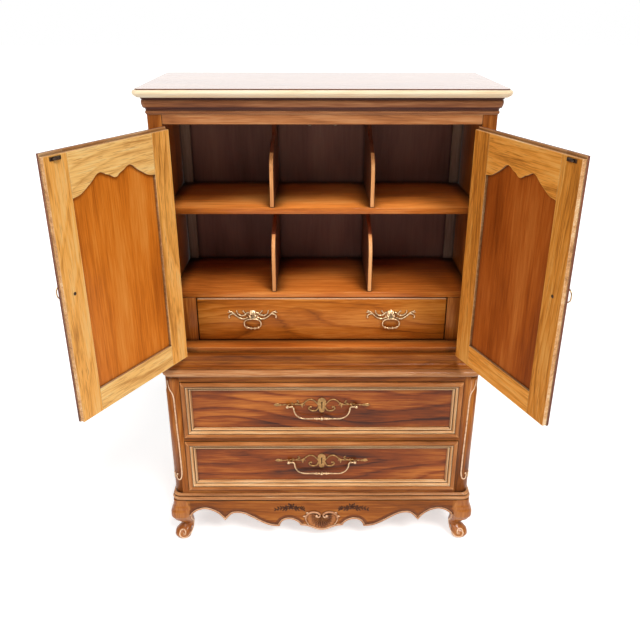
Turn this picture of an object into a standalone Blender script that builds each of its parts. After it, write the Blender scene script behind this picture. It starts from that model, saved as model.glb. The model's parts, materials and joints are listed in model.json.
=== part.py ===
"""Door chest in the French provincial manner, in metres, +Z up, front towards -Y.

The upper case holds two doors, two shelves with curved dividers and an inner drawer.
The lower case holds two framed drawers and stands on two cabriole feet at the front
and on two bracket feet at the back. The origin is on the floor, in the plane of the
upper case's front, midway between its sides.
"""
import math

import bmesh
import bpy

# Clearances
FIT = 0.0003
DRAWER_REVEAL = 0.0024
DOOR_HINGE_GAP = 0.0022
DOOR_MEETING_GAP = 0.003
DOOR_TOP_GAP = 0.003
DOOR_BOTTOM_GAP = 0.003
EYE_CLEARANCE = 0.0007

# Upper case
UPPER_WIDTH = 0.973
CASE_BACK = 0.455
STILE_WIDTH = 0.0405
STILE_THICKNESS = 0.022
UPPER_SIDE_THICKNESS = 0.0135
OPENING_HEIGHT = 0.7196
TOP_RAIL_HEIGHT = 0.0741
BACK_SETBACK = 0.034
LOWER_BACK_SETBACK = 0.006
BACK_THICKNESS = 0.006
TOP_THICKNESS = 0.023
TOP_OVERHANG = 0.0335
TOP_BACK_OVERHANG = 0.010
TOP_CORNER_RADIUS = 0.026
CORNICE_HEIGHT = 0.047
CORNICE_REACH = 0.0145

# Shelves and their dividers
SHELF_SETBACK = 0.072
SHELF_THICKNESS = 0.018
LOWER_SHELF_HEIGHT = 0.187
UPPER_SHELF_HEIGHT = 0.461
DIVIDER_THICKNESS = 0.013
DIVIDER_SPACING = 0.303
UPPER_NOSE_HEIGHT = 0.172
LOWER_NOSE_HEIGHT = 0.192

# Doors
DOOR_THICKNESS = 0.019
DOOR_STILE_WIDTH = 0.072
DOOR_BOTTOM_RAIL = 0.069
DOOR_ARCH_DROP = 0.119
DOOR_HUMP_DROP = 0.074
DOOR_DIP_DROP = 0.096
DOOR_HUMP_SPACING = 0.108
DOOR_PANEL_THICKNESS = 0.008
DOOR_PANEL_INSET = 0.004
LEFT_DOOR_ANGLE = 119.0
RIGHT_DOOR_ANGLE = 111.0
HINGE_RADIUS = 0.004
HINGE_STANDOFF = 0.0005
HINGE_LENGTH = 0.060
HINGE_LEAF = 0.0015
HINGE_END_OFFSET = 0.085
DOOR_PULL_HEIGHT = 0.383
DOOR_PULL_INSET = 0.035

# Inner drawer
INNER_DRAWER_WIDTH = 0.801
INNER_FRONT_THICKNESS = 0.018
INNER_SIDE_INSET = 0.011
INNER_DRAWER_DEPTH = 0.320
INNER_DIVIDER_SPACING = 0.261
INNER_DIVIDER_THICKNESS = 0.010
INNER_FLOOR_RISE = 0.040
UPPER_FLOOR_HEIGHT = 0.017
UPPER_FLOOR_THICKNESS = 0.018
INNER_PULL_SPACING = 0.447
INNER_PULL_RISE = 0.005

# Waist board, between the upper and the lower case
WAIST_THICKNESS = 0.022
WAIST_OVERHANG = 0.0165
WAIST_SIDE_OVERHANG = 0.005
WAIST_CORNER_RADIUS = 0.030
SILL_HEIGHT = 0.041
COVE_HEIGHT = 0.021
COVE_REACH = 0.022

# Lower case
LOWER_STEP = 0.0215
LOWER_WIDTH = UPPER_WIDTH + 2 * LOWER_STEP
LOWER_FRONT = 0.0237
LOWER_SIDE_THICKNESS = 0.014
POST_WIDTH = 0.0485
POST_DEPTH = 0.054
POST_CORNER_RADIUS = 0.028
DUST_THICKNESS = 0.013
TOP_DUST_THICKNESS = 0.0215
MIDDLE_DRAWER_HEIGHT = 0.2075
BOTTOM_DRAWER_HEIGHT = 0.195
LOWER_FRONT_THICKNESS = 0.020
FRAME_REBATE = 0.004
# Picture-frame moulding of a lower drawer, from its edge inwards: each step's width and rise
FRAME_PROFILE = (
    (0.004, 0.004), (0.004, 0.002), (0.007, 0.000), (0.004, -0.003), (0.009, -0.012), (0.004, -0.005))
LOWER_DRAWER_DEPTH = 0.400
DRAWER_SIDE_THICKNESS = 0.012
DRAWER_FLOOR_THICKNESS = 0.006
DRAWER_FLOOR_RISE = 0.010
BOX_SIDE_CLEARANCE = 0.012
BOX_TOP_DROP = 0.012

# Base
BASE_THICKNESS = 0.0275
BASE_OVERHANG = 0.0115
APRON_THICKNESS = 0.020
FOOT_HEIGHT = 0.168
FOOT_INSET = 0.024
FOOT_BLOCK_HALF = 0.033
SIDE_SKIRT_DEPTH = 0.060
REAR_FOOT_WIDTH = 0.060
SHELL_WIDTH = 0.116
SHELL_HEIGHT = 0.076
SHELL_RELIEF = 0.009

# Brass
PLATE_THICKNESS = 0.0025
RING_WIDTH = 0.0545
RING_DROP = 0.036
RING_WIRE = 0.002
RING_STANDOFF = 0.0085
EYE_WIDTH = 0.007
EYE_WALL = 0.0022
BAIL_SPAN = 0.208
BAIL_DROP = 0.045
BAIL_WIRE = 0.0022
BAIL_STANDOFF = 0.0135
BAIL_RISE = 0.015
DOOR_RING_WIDTH = 0.052
DOOR_RING_DROP = 0.040
DOOR_RING_STANDOFF = 0.017

# Travel of the moving pieces at rest: the doors stand open and each drawer is pushed in
INNER_DRAWER_OUT = 0.0
MIDDLE_DRAWER_OUT = 0.0
BOTTOM_DRAWER_OUT = 0.0

# Heights and planes that follow from the sizes above
BASE_TOP = FOOT_HEIGHT + BASE_THICKNESS
BOTTOM_DUST_Z = BASE_TOP + FIT
BOTTOM_DRAWER_Z = BOTTOM_DUST_Z + DUST_THICKNESS + DRAWER_REVEAL
MIDDLE_DUST_Z = BOTTOM_DRAWER_Z + BOTTOM_DRAWER_HEIGHT + DRAWER_REVEAL
MIDDLE_DRAWER_Z = MIDDLE_DUST_Z + DUST_THICKNESS + DRAWER_REVEAL
TOP_DUST_Z = MIDDLE_DRAWER_Z + MIDDLE_DRAWER_HEIGHT + DRAWER_REVEAL
WAIST_Z = TOP_DUST_Z + TOP_DUST_THICKNESS + FIT
WAIST_TOP = WAIST_Z + WAIST_THICKNESS
SILL_TOP = WAIST_TOP + SILL_HEIGHT
OPENING_TOP = SILL_TOP + OPENING_HEIGHT
TOP_Z = OPENING_TOP + TOP_RAIL_HEIGHT + FIT
UPPER_HALF = UPPER_WIDTH / 2
OPENING_HALF = UPPER_HALF - STILE_WIDTH
SIDE_INNER = UPPER_HALF - UPPER_SIDE_THICKNESS
LOWER_HALF = LOWER_WIDTH / 2
POST_INNER = LOWER_HALF - POST_WIDTH
LOWER_SIDE_INNER = LOWER_HALF - LOWER_SIDE_THICKNESS
BACK_PANEL_Y = CASE_BACK - BACK_SETBACK - BACK_THICKNESS
LOWER_BACK_Y = CASE_BACK - LOWER_BACK_SETBACK - BACK_THICKNESS
UPPER_BASE_Z = WAIST_TOP + FIT
FLOOR_TOP = SILL_TOP + UPPER_FLOOR_HEIGHT
LOWER_SHELF_TOP = SILL_TOP + LOWER_SHELF_HEIGHT
UPPER_SHELF_TOP = SILL_TOP + UPPER_SHELF_HEIGHT
DOOR_Z = SILL_TOP + DOOR_BOTTOM_GAP
DOOR_HEIGHT = OPENING_HEIGHT - DOOR_BOTTOM_GAP - DOOR_TOP_GAP
DOOR_WIDTH = OPENING_HALF - DOOR_HINGE_GAP - DOOR_MEETING_GAP / 2
INNER_HALF = INNER_DRAWER_WIDTH / 2
INNER_DRAWER_Z = FLOOR_TOP + DRAWER_REVEAL
INNER_DRAWER_HEIGHT = LOWER_SHELF_TOP - SHELF_THICKNESS - DRAWER_REVEAL - INNER_DRAWER_Z
DRAWER_FRONT_HALF = POST_INNER - DRAWER_REVEAL
HINGE_AXIS_Y = -HINGE_RADIUS - HINGE_STANDOFF
HINGE_AXIS_X = OPENING_HALF - DOOR_HINGE_GAP / 2
FOOT_CENTRE_X = LOWER_HALF - FOOT_INSET
FOOT_CENTRE_Y = FOOT_INSET - LOWER_FRONT


def clear_scene():
    for item in list(bpy.data.objects):
        bpy.data.objects.remove(item, do_unlink=True)


def new_collection(name):
    collection = bpy.data.collections.new(name)
    bpy.context.scene.collection.children.link(collection)
    return collection


def make_material(name, colour, roughness, metallic=0.0):
    material = bpy.data.materials.new(name)
    material.use_nodes = True
    shader = material.node_tree.nodes["Principled BSDF"]
    shader.inputs["Base Color"].default_value = (*colour, 1.0)
    shader.inputs["Roughness"].default_value = roughness
    shader.inputs["Metallic"].default_value = metallic
    return material


clear_scene()
PARTS = new_collection("door_chest")
CUTTERS = new_collection("cutters")
FRUITWOOD = make_material("fruitwood", (0.46, 0.20, 0.06), 0.35)
DOOR_WOOD = make_material("door_frame_wood", (0.58, 0.27, 0.08), 0.38)
PANEL_WOOD = make_material("door_panel_wood", (0.42, 0.16, 0.04), 0.36)
DRAWER_WOOD = make_material("drawer_front_wood", (0.36, 0.13, 0.04), 0.32)
SHELF_WOOD = make_material("shelf_wood", (0.50, 0.17, 0.05), 0.34)
BACK_WOOD = make_material("back_panel_wood", (0.10, 0.04, 0.03), 0.55)
BOX_WOOD = make_material("drawer_box_wood", (0.66, 0.38, 0.20), 0.50)
BRASS = make_material("antique_brass", (0.62, 0.45, 0.24), 0.34, 1.0)


def add_object(name, data, material, parent=None, collection=PARTS):
    """An object for the given mesh or curve, in its collection and under its parent."""
    item = bpy.data.objects.new(name, data)
    collection.objects.link(item)
    if material:
        data.materials.append(material)
    item.parent = parent
    return item


def add_empty(name, location, parent=None, turn=0.0):
    """An empty on a joint's axis, turned about the vertical by the given angle."""
    empty = bpy.data.objects.new(name, None)
    PARTS.objects.link(empty)
    empty.location = location
    empty.rotation_euler = (0.0, 0.0, turn)
    empty.parent = parent
    return empty


def block_mesh(name, x, y, z):
    """A box mesh about its own centre, and that centre."""
    mesh = bpy.data.meshes.new(name)
    shape = bmesh.new()
    bmesh.ops.create_cube(shape, size=1.0)
    bmesh.ops.scale(shape, vec=(x[1] - x[0], y[1] - y[0], z[1] - z[0]), verts=shape.verts)
    shape.to_mesh(mesh)
    shape.free()
    return mesh, ((x[0] + x[1]) / 2, (y[0] + y[1]) / 2, (z[0] + z[1]) / 2)


def board(name, material, x, y, z, parent=None, edge=0.0):
    """A plain board between the given limits, its edges eased by a bevel."""
    mesh, centre = block_mesh(name, x, y, z)
    item = add_object(name, mesh, material, parent)
    item.location = centre
    if edge:
        ease_edges(item, edge)
    return item


def ease_edges(item, width, segments=1):
    bevel = item.modifiers.new("eased_edges", "BEVEL")
    bevel.width = width
    bevel.segments = segments
    bevel.limit_method = "ANGLE"
    bevel.angle_limit = math.radians(40)
    return bevel


def round_corners(mesh, signs, radius, segments):
    """Rounds the upright edges of a box mesh on the given sides, as (x sign, y sign) pairs."""
    shape = bmesh.new()
    shape.from_mesh(mesh)
    chosen = []
    for edge in shape.edges:
        low, high = edge.verts
        upright = abs(low.co.x - high.co.x) < FIT and abs(low.co.y - high.co.y) < FIT
        if upright and (math.copysign(1, low.co.x), math.copysign(1, low.co.y)) in signs:
            chosen.append(edge)
    bmesh.ops.bevel(shape, geom=chosen, offset=radius, segments=segments, profile=0.5, affect="EDGES")
    shape.to_mesh(mesh)
    shape.free()


def moulded_slab(name, material, half_width, front, back, low, high, radius, edge):
    """A board with rounded front corners and a rounded moulding along its edges."""
    mesh, centre = block_mesh(name, (-half_width, half_width), (front, back), (low, high))
    round_corners(mesh, ((-1, -1), (1, -1)), radius, 6)
    item = add_object(name, mesh, material)
    item.location = centre
    ease_edges(item, edge, 3)
    return item


def outline_curve(name, material, loops, thickness, turn, location, parent=None, resolution=5):
    """A flat 2D curve, filled and extruded; each point is (u, v, smooth)."""
    curve = bpy.data.curves.new(name, "CURVE")
    curve.dimensions = "2D"
    curve.fill_mode = "BOTH"
    curve.extrude = thickness / 2
    curve.resolution_u = resolution
    for points in loops:
        spline = curve.splines.new("BEZIER")
        spline.bezier_points.add(len(points) - 1)
        spline.use_cyclic_u = True
        for knot, (u, v, smooth) in zip(spline.bezier_points, points):
            knot.co = (u, v, 0.0)
            knot.handle_left_type = "AUTO" if smooth else "VECTOR"
            knot.handle_right_type = "AUTO" if smooth else "VECTOR"
    item = add_object(name, curve, material, parent)
    item.rotation_euler = turn
    item.location = location
    return item


# Turns of a flat outline: u and v become x and z, y and z, or x and y
FACING_FRONT = (math.pi / 2, 0.0, 0.0)
FACING_SIDE = (math.pi / 2, 0.0, math.pi / 2)


def curve_to_mesh(item):
    """Turns a curve object into a closed mesh object at the same place."""
    bpy.context.view_layer.update()
    evaluated = item.evaluated_get(bpy.context.evaluated_depsgraph_get())
    mesh = bpy.data.meshes.new_from_object(evaluated)
    shape = bmesh.new()
    shape.from_mesh(mesh)
    bmesh.ops.remove_doubles(shape, verts=shape.verts, dist=0.00002)
    shape.to_mesh(mesh)
    shape.free()
    name, parent, matrix = item.name, item.parent, item.matrix_world.copy()
    bpy.data.objects.remove(item, do_unlink=True)
    solid = bpy.data.objects.new(name, mesh)
    PARTS.objects.link(solid)
    solid.parent = parent
    bpy.context.view_layer.update()
    solid.matrix_world = matrix
    return solid


def apply_tool(target, tool, operation):
    """Cuts a tool from the target, or joins it on, with an exact Boolean."""
    for collection in list(tool.users_collection):
        collection.objects.unlink(tool)
    CUTTERS.objects.link(tool)
    tool.hide_render = True
    tool.display_type = "WIRE"
    boolean = target.modifiers.new(operation.lower(), "BOOLEAN")
    boolean.operation = operation
    boolean.solver = "EXACT"
    boolean.object = tool


def mitred_moulding(name, material, profile, half_width, front, back):
    """A moulding round the front and both sides: each (reach, z) of its closed profile is a mitred run."""
    mesh = bpy.data.meshes.new(name)
    shape = bmesh.new()
    rings = []
    for reach, z in profile:
        side = half_width + reach
        face = front - reach
        corners = ((-side, back), (-side, face), (side, face), (side, back))
        rings.append([shape.verts.new((x, y, z)) for x, y in corners])
    count = len(rings)
    for index in range(count):
        here, following = rings[index], rings[(index + 1) % count]
        for corner in range(3):
            shape.faces.new((here[corner], here[corner + 1], following[corner + 1], following[corner]))
    shape.faces.new([ring[0] for ring in rings])
    shape.faces.new([ring[3] for ring in reversed(rings)])
    bmesh.ops.recalc_face_normals(shape, faces=shape.faces)
    shape.to_mesh(mesh)
    shape.free()
    return add_object(name, mesh, material)


def arc(centre, radii, start, end, steps):
    """Points along an elliptical arc, in degrees."""
    angles = [math.radians(start + (end - start) * step / steps) for step in range(steps + 1)]
    return [(centre[0] + radii[0] * math.cos(a), centre[1] + radii[1] * math.sin(a)) for a in angles]


# Upper case
def make_top():
    moulded_slab(
        "top_board", FRUITWOOD, UPPER_HALF + TOP_OVERHANG, -TOP_OVERHANG, CASE_BACK + TOP_BACK_OVERHANG,
        TOP_Z, TOP_Z + TOP_THICKNESS, TOP_CORNER_RADIUS, 0.009)


def make_cornice():
    """A crown moulding: a fascia, an ovolo and a cove, from the top down."""
    top = TOP_Z - FIT
    low = top - CORNICE_HEIGHT
    ovolo_low = top - 0.62 * CORNICE_HEIGHT
    cove_reach = 0.35 * CORNICE_REACH
    profile = [(FIT, top), (CORNICE_REACH, top), (CORNICE_REACH, top - 0.22 * CORNICE_HEIGHT)]
    profile += arc((cove_reach, top - 0.26 * CORNICE_HEIGHT), (0.60 * CORNICE_REACH, ovolo_low - top + 0.26
                   * CORNICE_HEIGHT), 0, 90, 4)
    profile += arc((cove_reach, low), (-0.30 * CORNICE_REACH, 0.34 * CORNICE_HEIGHT), 90, 20, 3)
    profile += [(FIT, low)]
    mitred_moulding("cornice", FRUITWOOD, profile, UPPER_HALF, 0.0, CASE_BACK)


def make_upper_case():
    frame_top = TOP_Z - FIT
    board("top_rail", FRUITWOOD, (-OPENING_HALF + FIT, OPENING_HALF - FIT), (0.0, STILE_THICKNESS),
          (OPENING_TOP, frame_top), edge=0.0008)
    height = (UPPER_BASE_Z, frame_top)
    for side, sign in (("left", -1), ("right", 1)):
        stile = sorted((sign * OPENING_HALF, sign * UPPER_HALF))
        board(f"upper_stile_{side}", FRUITWOOD, stile, (0.0, STILE_THICKNESS), height, edge=0.0008)
        panel = sorted((sign * SIDE_INNER, sign * UPPER_HALF))
        board(f"upper_side_{side}", FRUITWOOD, panel, (STILE_THICKNESS + FIT, CASE_BACK), height, edge=0.0008)
    inside = (-SIDE_INNER + FIT, SIDE_INNER - FIT)
    board("upper_back", BACK_WOOD, inside, (BACK_PANEL_Y, BACK_PANEL_Y + BACK_THICKNESS), height)
    depth = (SHELF_SETBACK, BACK_PANEL_Y - FIT)
    for name, top in (("shelf_upper", UPPER_SHELF_TOP), ("shelf_lower", LOWER_SHELF_TOP)):
        board(name, SHELF_WOOD, inside, depth, (top - SHELF_THICKNESS, top), edge=0.0015)
    board("upper_floor", SHELF_WOOD, inside, (STILE_THICKNESS + FIT, BACK_PANEL_Y - FIT),
          (FLOOR_TOP - UPPER_FLOOR_THICKNESS, FLOOR_TOP))


def make_fillers():
    """Strips that fill the width beside the inner drawer, so that it clears the open doors."""
    inner = INNER_HALF + DRAWER_REVEAL
    low, high = FLOOR_TOP + FIT, LOWER_SHELF_TOP - SHELF_THICKNESS - FIT
    for side, sign in (("left", -1), ("right", 1)):
        width = sorted((sign * inner, sign * (SIDE_INNER - FIT)))
        board(f"drawer_filler_{side}", FRUITWOOD, width, (SHELF_SETBACK, SHELF_SETBACK + STILE_THICKNESS),
              (low, high), edge=0.0008)


def make_shelf_dividers():
    """Upright dividers whose front edge rounds over a nose and then sweeps up to the board above."""
    nose = SHELF_SETBACK + 0.006
    rear = BACK_PANEL_Y - FIT
    heights = {
        "upper": (UPPER_SHELF_TOP + FIT, TOP_Z - FIT, UPPER_NOSE_HEIGHT),
        "lower": (LOWER_SHELF_TOP + FIT, UPPER_SHELF_TOP - SHELF_THICKNESS - FIT, LOWER_NOSE_HEIGHT),
    }
    for level, (low, high, rise) in heights.items():
        outline = [
            (nose, low, False),
            (rear, low, False),
            (rear, high, False),
            (nose + 0.235, high, False),
            (nose + 0.195, low + rise + 0.034, True),
            (nose + 0.125, low + rise + 0.010, True),
            (nose + 0.055, low + rise - 0.010, True),
            (nose + 0.022, low + rise - 0.029, True),
            (nose + 0.006, low + rise - 0.051, True),
            (nose, low + rise - 0.078, True),
        ]
        for side, sign in (("left", -1), ("right", 1)):
            outline_curve(f"divider_{level}_{side}", SHELF_WOOD, [outline], DIVIDER_THICKNESS, FACING_SIDE,
                          (sign * DIVIDER_SPACING / 2, 0.0, 0.0), resolution=4)


# Doors
def door_outline(left, right, low, arch, hump, dip, clearance):
    """The scalloped panel shape: straight sides and foot, two humps and a dip above, less a clearance."""
    centre = (left + right) / 2
    low, arch = low + clearance, arch - clearance
    hump, dip = hump - clearance, dip - clearance
    left, right = left + clearance, right - clearance
    reach = DOOR_HUMP_SPACING / 2
    outline = [(left, low, False), (right, low, False), (right, arch, False)]
    for sign in (1, -1):
        half = [
            (centre + sign * (reach + 0.058), arch + 0.010, True),
            (centre + sign * (reach + 0.022), hump - 0.013, True),
            (centre + sign * reach, hump, True),
            (centre + sign * (reach - 0.022), hump - 0.008, True),
        ]
        outline += half if sign > 0 else half[::-1]
        if sign > 0:
            outline.append((centre, dip, False))
    outline.append((left, arch, False))
    return outline


def make_door(side, sign, angle):
    """A door modelled shut about its hinge line, then turned open: sign is -1 on the left."""
    hinge = (sign * HINGE_AXIS_X, HINGE_AXIS_Y, 0.0)
    axis = add_empty(f"{side}_door_axis", hinge, turn=sign * math.radians(angle))
    near = DOOR_HINGE_GAP / 2
    far = near + DOOR_WIDTH
    face = -HINGE_AXIS_Y
    top = DOOR_Z + DOOR_HEIGHT
    heights = (DOOR_Z + DOOR_BOTTOM_RAIL, top - DOOR_ARCH_DROP, top - DOOR_HUMP_DROP, top - DOOR_DIP_DROP)
    opening = (near + DOOR_STILE_WIDTH, far - DOOR_STILE_WIDTH)

    def across(points):
        return [(-sign * u, v, smooth) for u, v, smooth in points]

    rim = across([(near, DOOR_Z, False), (far, DOOR_Z, False), (far, top, False), (near, top, False)])
    hole = across(door_outline(*opening, *heights, 0.0))
    panel = across(door_outline(*opening, *heights, FIT))
    outline_curve(f"door_frame_{side}", DOOR_WOOD, [rim, hole], DOOR_THICKNESS, FACING_FRONT,
                  (0.0, face + DOOR_THICKNESS / 2, 0.0), axis, 4)
    panel_face = face + DOOR_PANEL_INSET
    outline_curve(f"door_panel_{side}", PANEL_WOOD, [panel], DOOR_PANEL_THICKNESS, FACING_FRONT,
                  (0.0, panel_face + DOOR_PANEL_THICKNESS / 2, 0.0), axis, 4)
    pull_x = -sign * (far - DOOR_PULL_INSET)
    pivot = (pull_x, face - DOOR_RING_STANDOFF, DOOR_Z + DOOR_PULL_HEIGHT)
    ring_axis = add_empty(f"{side}_door_ring_axis", pivot, axis)
    make_plate(f"door_pull_plate_{side}", rosette_outline(), DOOR_RING_STANDOFF, (0.0,), RING_WIRE, ring_axis)
    make_ring(f"door_ring_{side}", DOOR_RING_WIDTH, DOOR_RING_DROP, ring_axis)


def make_hinges():
    """Butt hinges: each has a leaf on the jamb and a barrel on the hinge line."""
    top = DOOR_Z + DOOR_HEIGHT
    heights = {"upper": top - HINGE_END_OFFSET, "lower": DOOR_Z + HINGE_END_OFFSET}
    for side, sign in (("left", -1), ("right", 1)):
        for level, middle in heights.items():
            jamb = sorted((sign * (OPENING_HALF - FIT), sign * (OPENING_HALF - FIT - HINGE_LEAF)))
            span = (middle - HINGE_LENGTH / 2, middle + HINGE_LENGTH / 2)
            leaf = board(f"hinge_{side}_{level}", BRASS, jamb, (HINGE_AXIS_Y, STILE_THICKNESS - 0.003), span)
            barrel = bpy.data.meshes.new(f"barrel_{side}_{level}")
            shape = bmesh.new()
            bmesh.ops.create_cone(shape, cap_ends=True, segments=16, radius1=HINGE_RADIUS,
                                  radius2=HINGE_RADIUS, depth=HINGE_LENGTH + 0.002)
            shape.to_mesh(barrel)
            shape.free()
            tool = add_object(f"barrel_{side}_{level}", barrel, BRASS)
            tool.location = (sign * HINGE_AXIS_X, HINGE_AXIS_Y, middle)
            apply_tool(leaf, tool, "UNION")


# Drawers
def drawer_box(name, half_width, front, depth, low, high, floor, parent):
    """The sides, back and floor of a drawer, open at the front, where the drawer front closes it."""
    box = board(name, BOX_WOOD, (-half_width, half_width), (front, front + depth), (low, high), parent)
    inside = half_width - DRAWER_SIDE_THICKNESS
    hollow, centre = block_mesh(f"{name}_hollow", (-inside, inside),
                                (front - 0.01, front + depth - DRAWER_SIDE_THICKNESS), (floor, high + 0.01))
    tool = add_object(f"{name}_hollow", hollow, None, parent)
    tool.location = centre
    apply_tool(box, tool, "DIFFERENCE")
    under, centre = block_mesh(f"{name}_under", (-inside, inside), (front - 0.01, front + depth
                               - DRAWER_SIDE_THICKNESS), (low - 0.01, floor - DRAWER_FLOOR_THICKNESS))
    tool = add_object(f"{name}_under", under, None, parent)
    tool.location = centre
    apply_tool(box, tool, "DIFFERENCE")


def make_inner_drawer():
    """The drawer behind the doors, with two dividers and two ring pulls."""
    slide = add_empty("inner_drawer_slide", (0.0, SHELF_SETBACK - INNER_DRAWER_OUT, 0.0))
    top = INNER_DRAWER_Z + INNER_DRAWER_HEIGHT
    board("inner_drawer_front", DRAWER_WOOD, (-INNER_HALF, INNER_HALF), (0.0, INNER_FRONT_THICKNESS),
          (INNER_DRAWER_Z, top), slide, edge=0.003)
    box_front = INNER_FRONT_THICKNESS + FIT
    floor = FLOOR_TOP + INNER_FLOOR_RISE
    box_top = top - 0.003
    drawer_box("inner_drawer_box", INNER_HALF - INNER_SIDE_INSET, box_front, INNER_DRAWER_DEPTH,
               FLOOR_TOP + FIT, box_top, floor, slide)
    length = (box_front, box_front + INNER_DRAWER_DEPTH - DRAWER_SIDE_THICKNESS - FIT)
    for side, sign in (("left", -1), ("right", 1)):
        middle = sign * INNER_DIVIDER_SPACING / 2
        width = (middle - INNER_DIVIDER_THICKNESS / 2, middle + INNER_DIVIDER_THICKNESS / 2)
        board(f"inner_divider_{side}", BOX_WOOD, width, length, (floor + FIT, box_top - 0.004), slide)
        middle_z = (INNER_DRAWER_Z + top) / 2 + INNER_PULL_RISE
        pivot = (sign * INNER_PULL_SPACING / 2, -RING_STANDOFF, middle_z)
        ring_axis = add_empty(f"{side}_inner_ring_axis", pivot, slide)
        make_plate(f"inner_pull_plate_{side}", shell_outline(), RING_STANDOFF, (0.0,), RING_WIRE, ring_axis)
        make_ring(f"inner_ring_{side}", RING_WIDTH, RING_DROP, ring_axis)


def make_framed_front(name, half_width, low, high, parent):
    """A drawer front whose face is inset step by step into a mitred picture-frame moulding."""
    rim = LOWER_FRONT_THICKNESS
    mesh, centre = block_mesh(name, (-half_width, half_width), (-FRAME_REBATE, rim), (low, high))
    shape = bmesh.new()
    shape.from_mesh(mesh)
    shape.faces.ensure_lookup_table()
    face = min(shape.faces, key=lambda item: item.calc_center_median().y)
    for width, rise in FRAME_PROFILE:
        bmesh.ops.inset_region(shape, faces=[face], thickness=width, depth=rise, use_even_offset=True)
    shape.to_mesh(mesh)
    shape.free()
    front = add_object(name, mesh, DRAWER_WOOD, parent)
    front.location = centre
    return front


def make_lower_drawer(level, low, height, out):
    """A framed drawer with one bail pull at its middle."""
    slide = add_empty(f"drawer_{level}_slide", (0.0, -LOWER_FRONT - out, 0.0))
    make_framed_front(f"drawer_front_{level}", DRAWER_FRONT_HALF, low, low + height, slide)
    dust_top = low - DRAWER_REVEAL
    drawer_box(f"drawer_box_{level}", DRAWER_FRONT_HALF - BOX_SIDE_CLEARANCE, LOWER_FRONT_THICKNESS + FIT,
               LOWER_DRAWER_DEPTH, dust_top + FIT, low + height - BOX_TOP_DROP,
               dust_top + DRAWER_FLOOR_RISE, slide)
    panel_face = -FRAME_REBATE - sum(rise for width, rise in FRAME_PROFILE)
    pull_z = low + height / 2 + BAIL_RISE
    bail_axis = add_empty(f"bail_{level}_axis", (0.0, panel_face - BAIL_STANDOFF, pull_z), slide)
    lugs = (-BAIL_SPAN / 2, BAIL_SPAN / 2)
    make_plate(f"pull_plate_{level}", keyhole_outline(), BAIL_STANDOFF, lugs, BAIL_WIRE, bail_axis)
    make_bail(f"bail_{level}", bail_axis)


# Brass pulls
def mirrored(half):
    """A closed outline from its right half, listed from the bottom centre up to the top centre."""
    return half + [(-u, v, smooth) for u, v, smooth in reversed(half) if u > FIT]


def shell_outline():
    """A shell with a scrolled wing on each side."""
    return mirrored([
        (0.0, -0.009, True), (0.014, -0.007, True), (0.026, 0.000, False), (0.040, -0.005, True),
        (0.052, 0.001, True), (0.066, 0.008, False), (0.080, 0.001, True), (0.084, 0.005, True),
        (0.074, 0.013, True), (0.082, 0.020, True), (0.076, 0.023, True), (0.060, 0.013, False),
        (0.052, 0.021, True), (0.047, 0.017, True), (0.036, 0.012, False), (0.028, 0.021, True),
        (0.020, 0.017, False), (0.013, 0.025, True), (0.0, 0.028, True)])


def rosette_outline():
    """A small cartouche plate behind a ring pull."""
    return mirrored([
        (0.0, -0.030, False), (0.010, -0.020, True), (0.013, -0.008, False), (0.018, 0.0, True),
        (0.013, 0.010, False), (0.009, 0.022, True), (0.0, 0.034, False)])


def keyhole_outline():
    """A keyhole plate in the middle, C-scrolls beside it and a leaf tip at each end."""
    return mirrored([
        (0.0, -0.024, True), (0.016, -0.019, False), (0.034, -0.017, True), (0.044, -0.007, True),
        (0.060, -0.010, False), (0.070, -0.001, False), (0.098, -0.005, False), (0.112, -0.005, False),
        (0.136, -0.004, False), (0.143, -0.007, False), (0.158, 0.000, False), (0.143, 0.006, False),
        (0.136, 0.003, False), (0.112, 0.004, False), (0.098, 0.005, False), (0.086, 0.013, True),
        (0.076, 0.008, False), (0.058, 0.008, True), (0.040, 0.018, True), (0.018, 0.015, False),
        (0.013, 0.025, True), (0.0, 0.029, True)])


def eye_outline(standoff, wire):
    """The side view of a lug: a neck from the plate to a round eye, with the hole for the wire."""
    bore = wire + EYE_CLEARANCE
    outer = bore + EYE_WALL
    neck = standoff - PLATE_THICKNESS / 2
    body = [(u, v, False) for u, v in arc((0.0, 0.0), (outer, outer), 60, 300, 9)]
    body += [(neck, -outer * 0.9, False), (neck, outer * 0.9, False)]
    hole = [(u, v, False) for u, v in arc((0.0, 0.0), (bore, bore), 0, 324, 9)]
    return [body, hole]


def make_plate(name, outline, standoff, lugs, wire, parent):
    """A backplate flat on the wood, joined with a pierced lug at each given place."""
    plate = outline_curve(name, BRASS, [outline], PLATE_THICKNESS - FIT, FACING_FRONT,
                          (0.0, standoff - (PLATE_THICKNESS + FIT) / 2, 0.0), parent, 3)
    plate = curve_to_mesh(plate)
    for place in lugs:
        lug = outline_curve(f"{name}_lug", BRASS, eye_outline(standoff, wire), EYE_WIDTH, FACING_SIDE,
                            (place, 0.0, 0.0), parent)
        apply_tool(plate, curve_to_mesh(lug), "UNION")


def wire_curve(name, points, wire, closed, parent):
    """A round brass wire along the given points."""
    curve = bpy.data.curves.new(name, "CURVE")
    curve.dimensions = "3D"
    curve.bevel_depth = wire
    curve.bevel_resolution = 2
    curve.use_fill_caps = not closed
    spline = curve.splines.new("POLY")
    spline.points.add(len(points) - 1)
    spline.use_cyclic_u = closed
    for knot, (u, v) in zip(spline.points, points):
        knot.co = (u, 0.0, v, 1.0)
    return add_object(name, curve, BRASS, parent)


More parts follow.
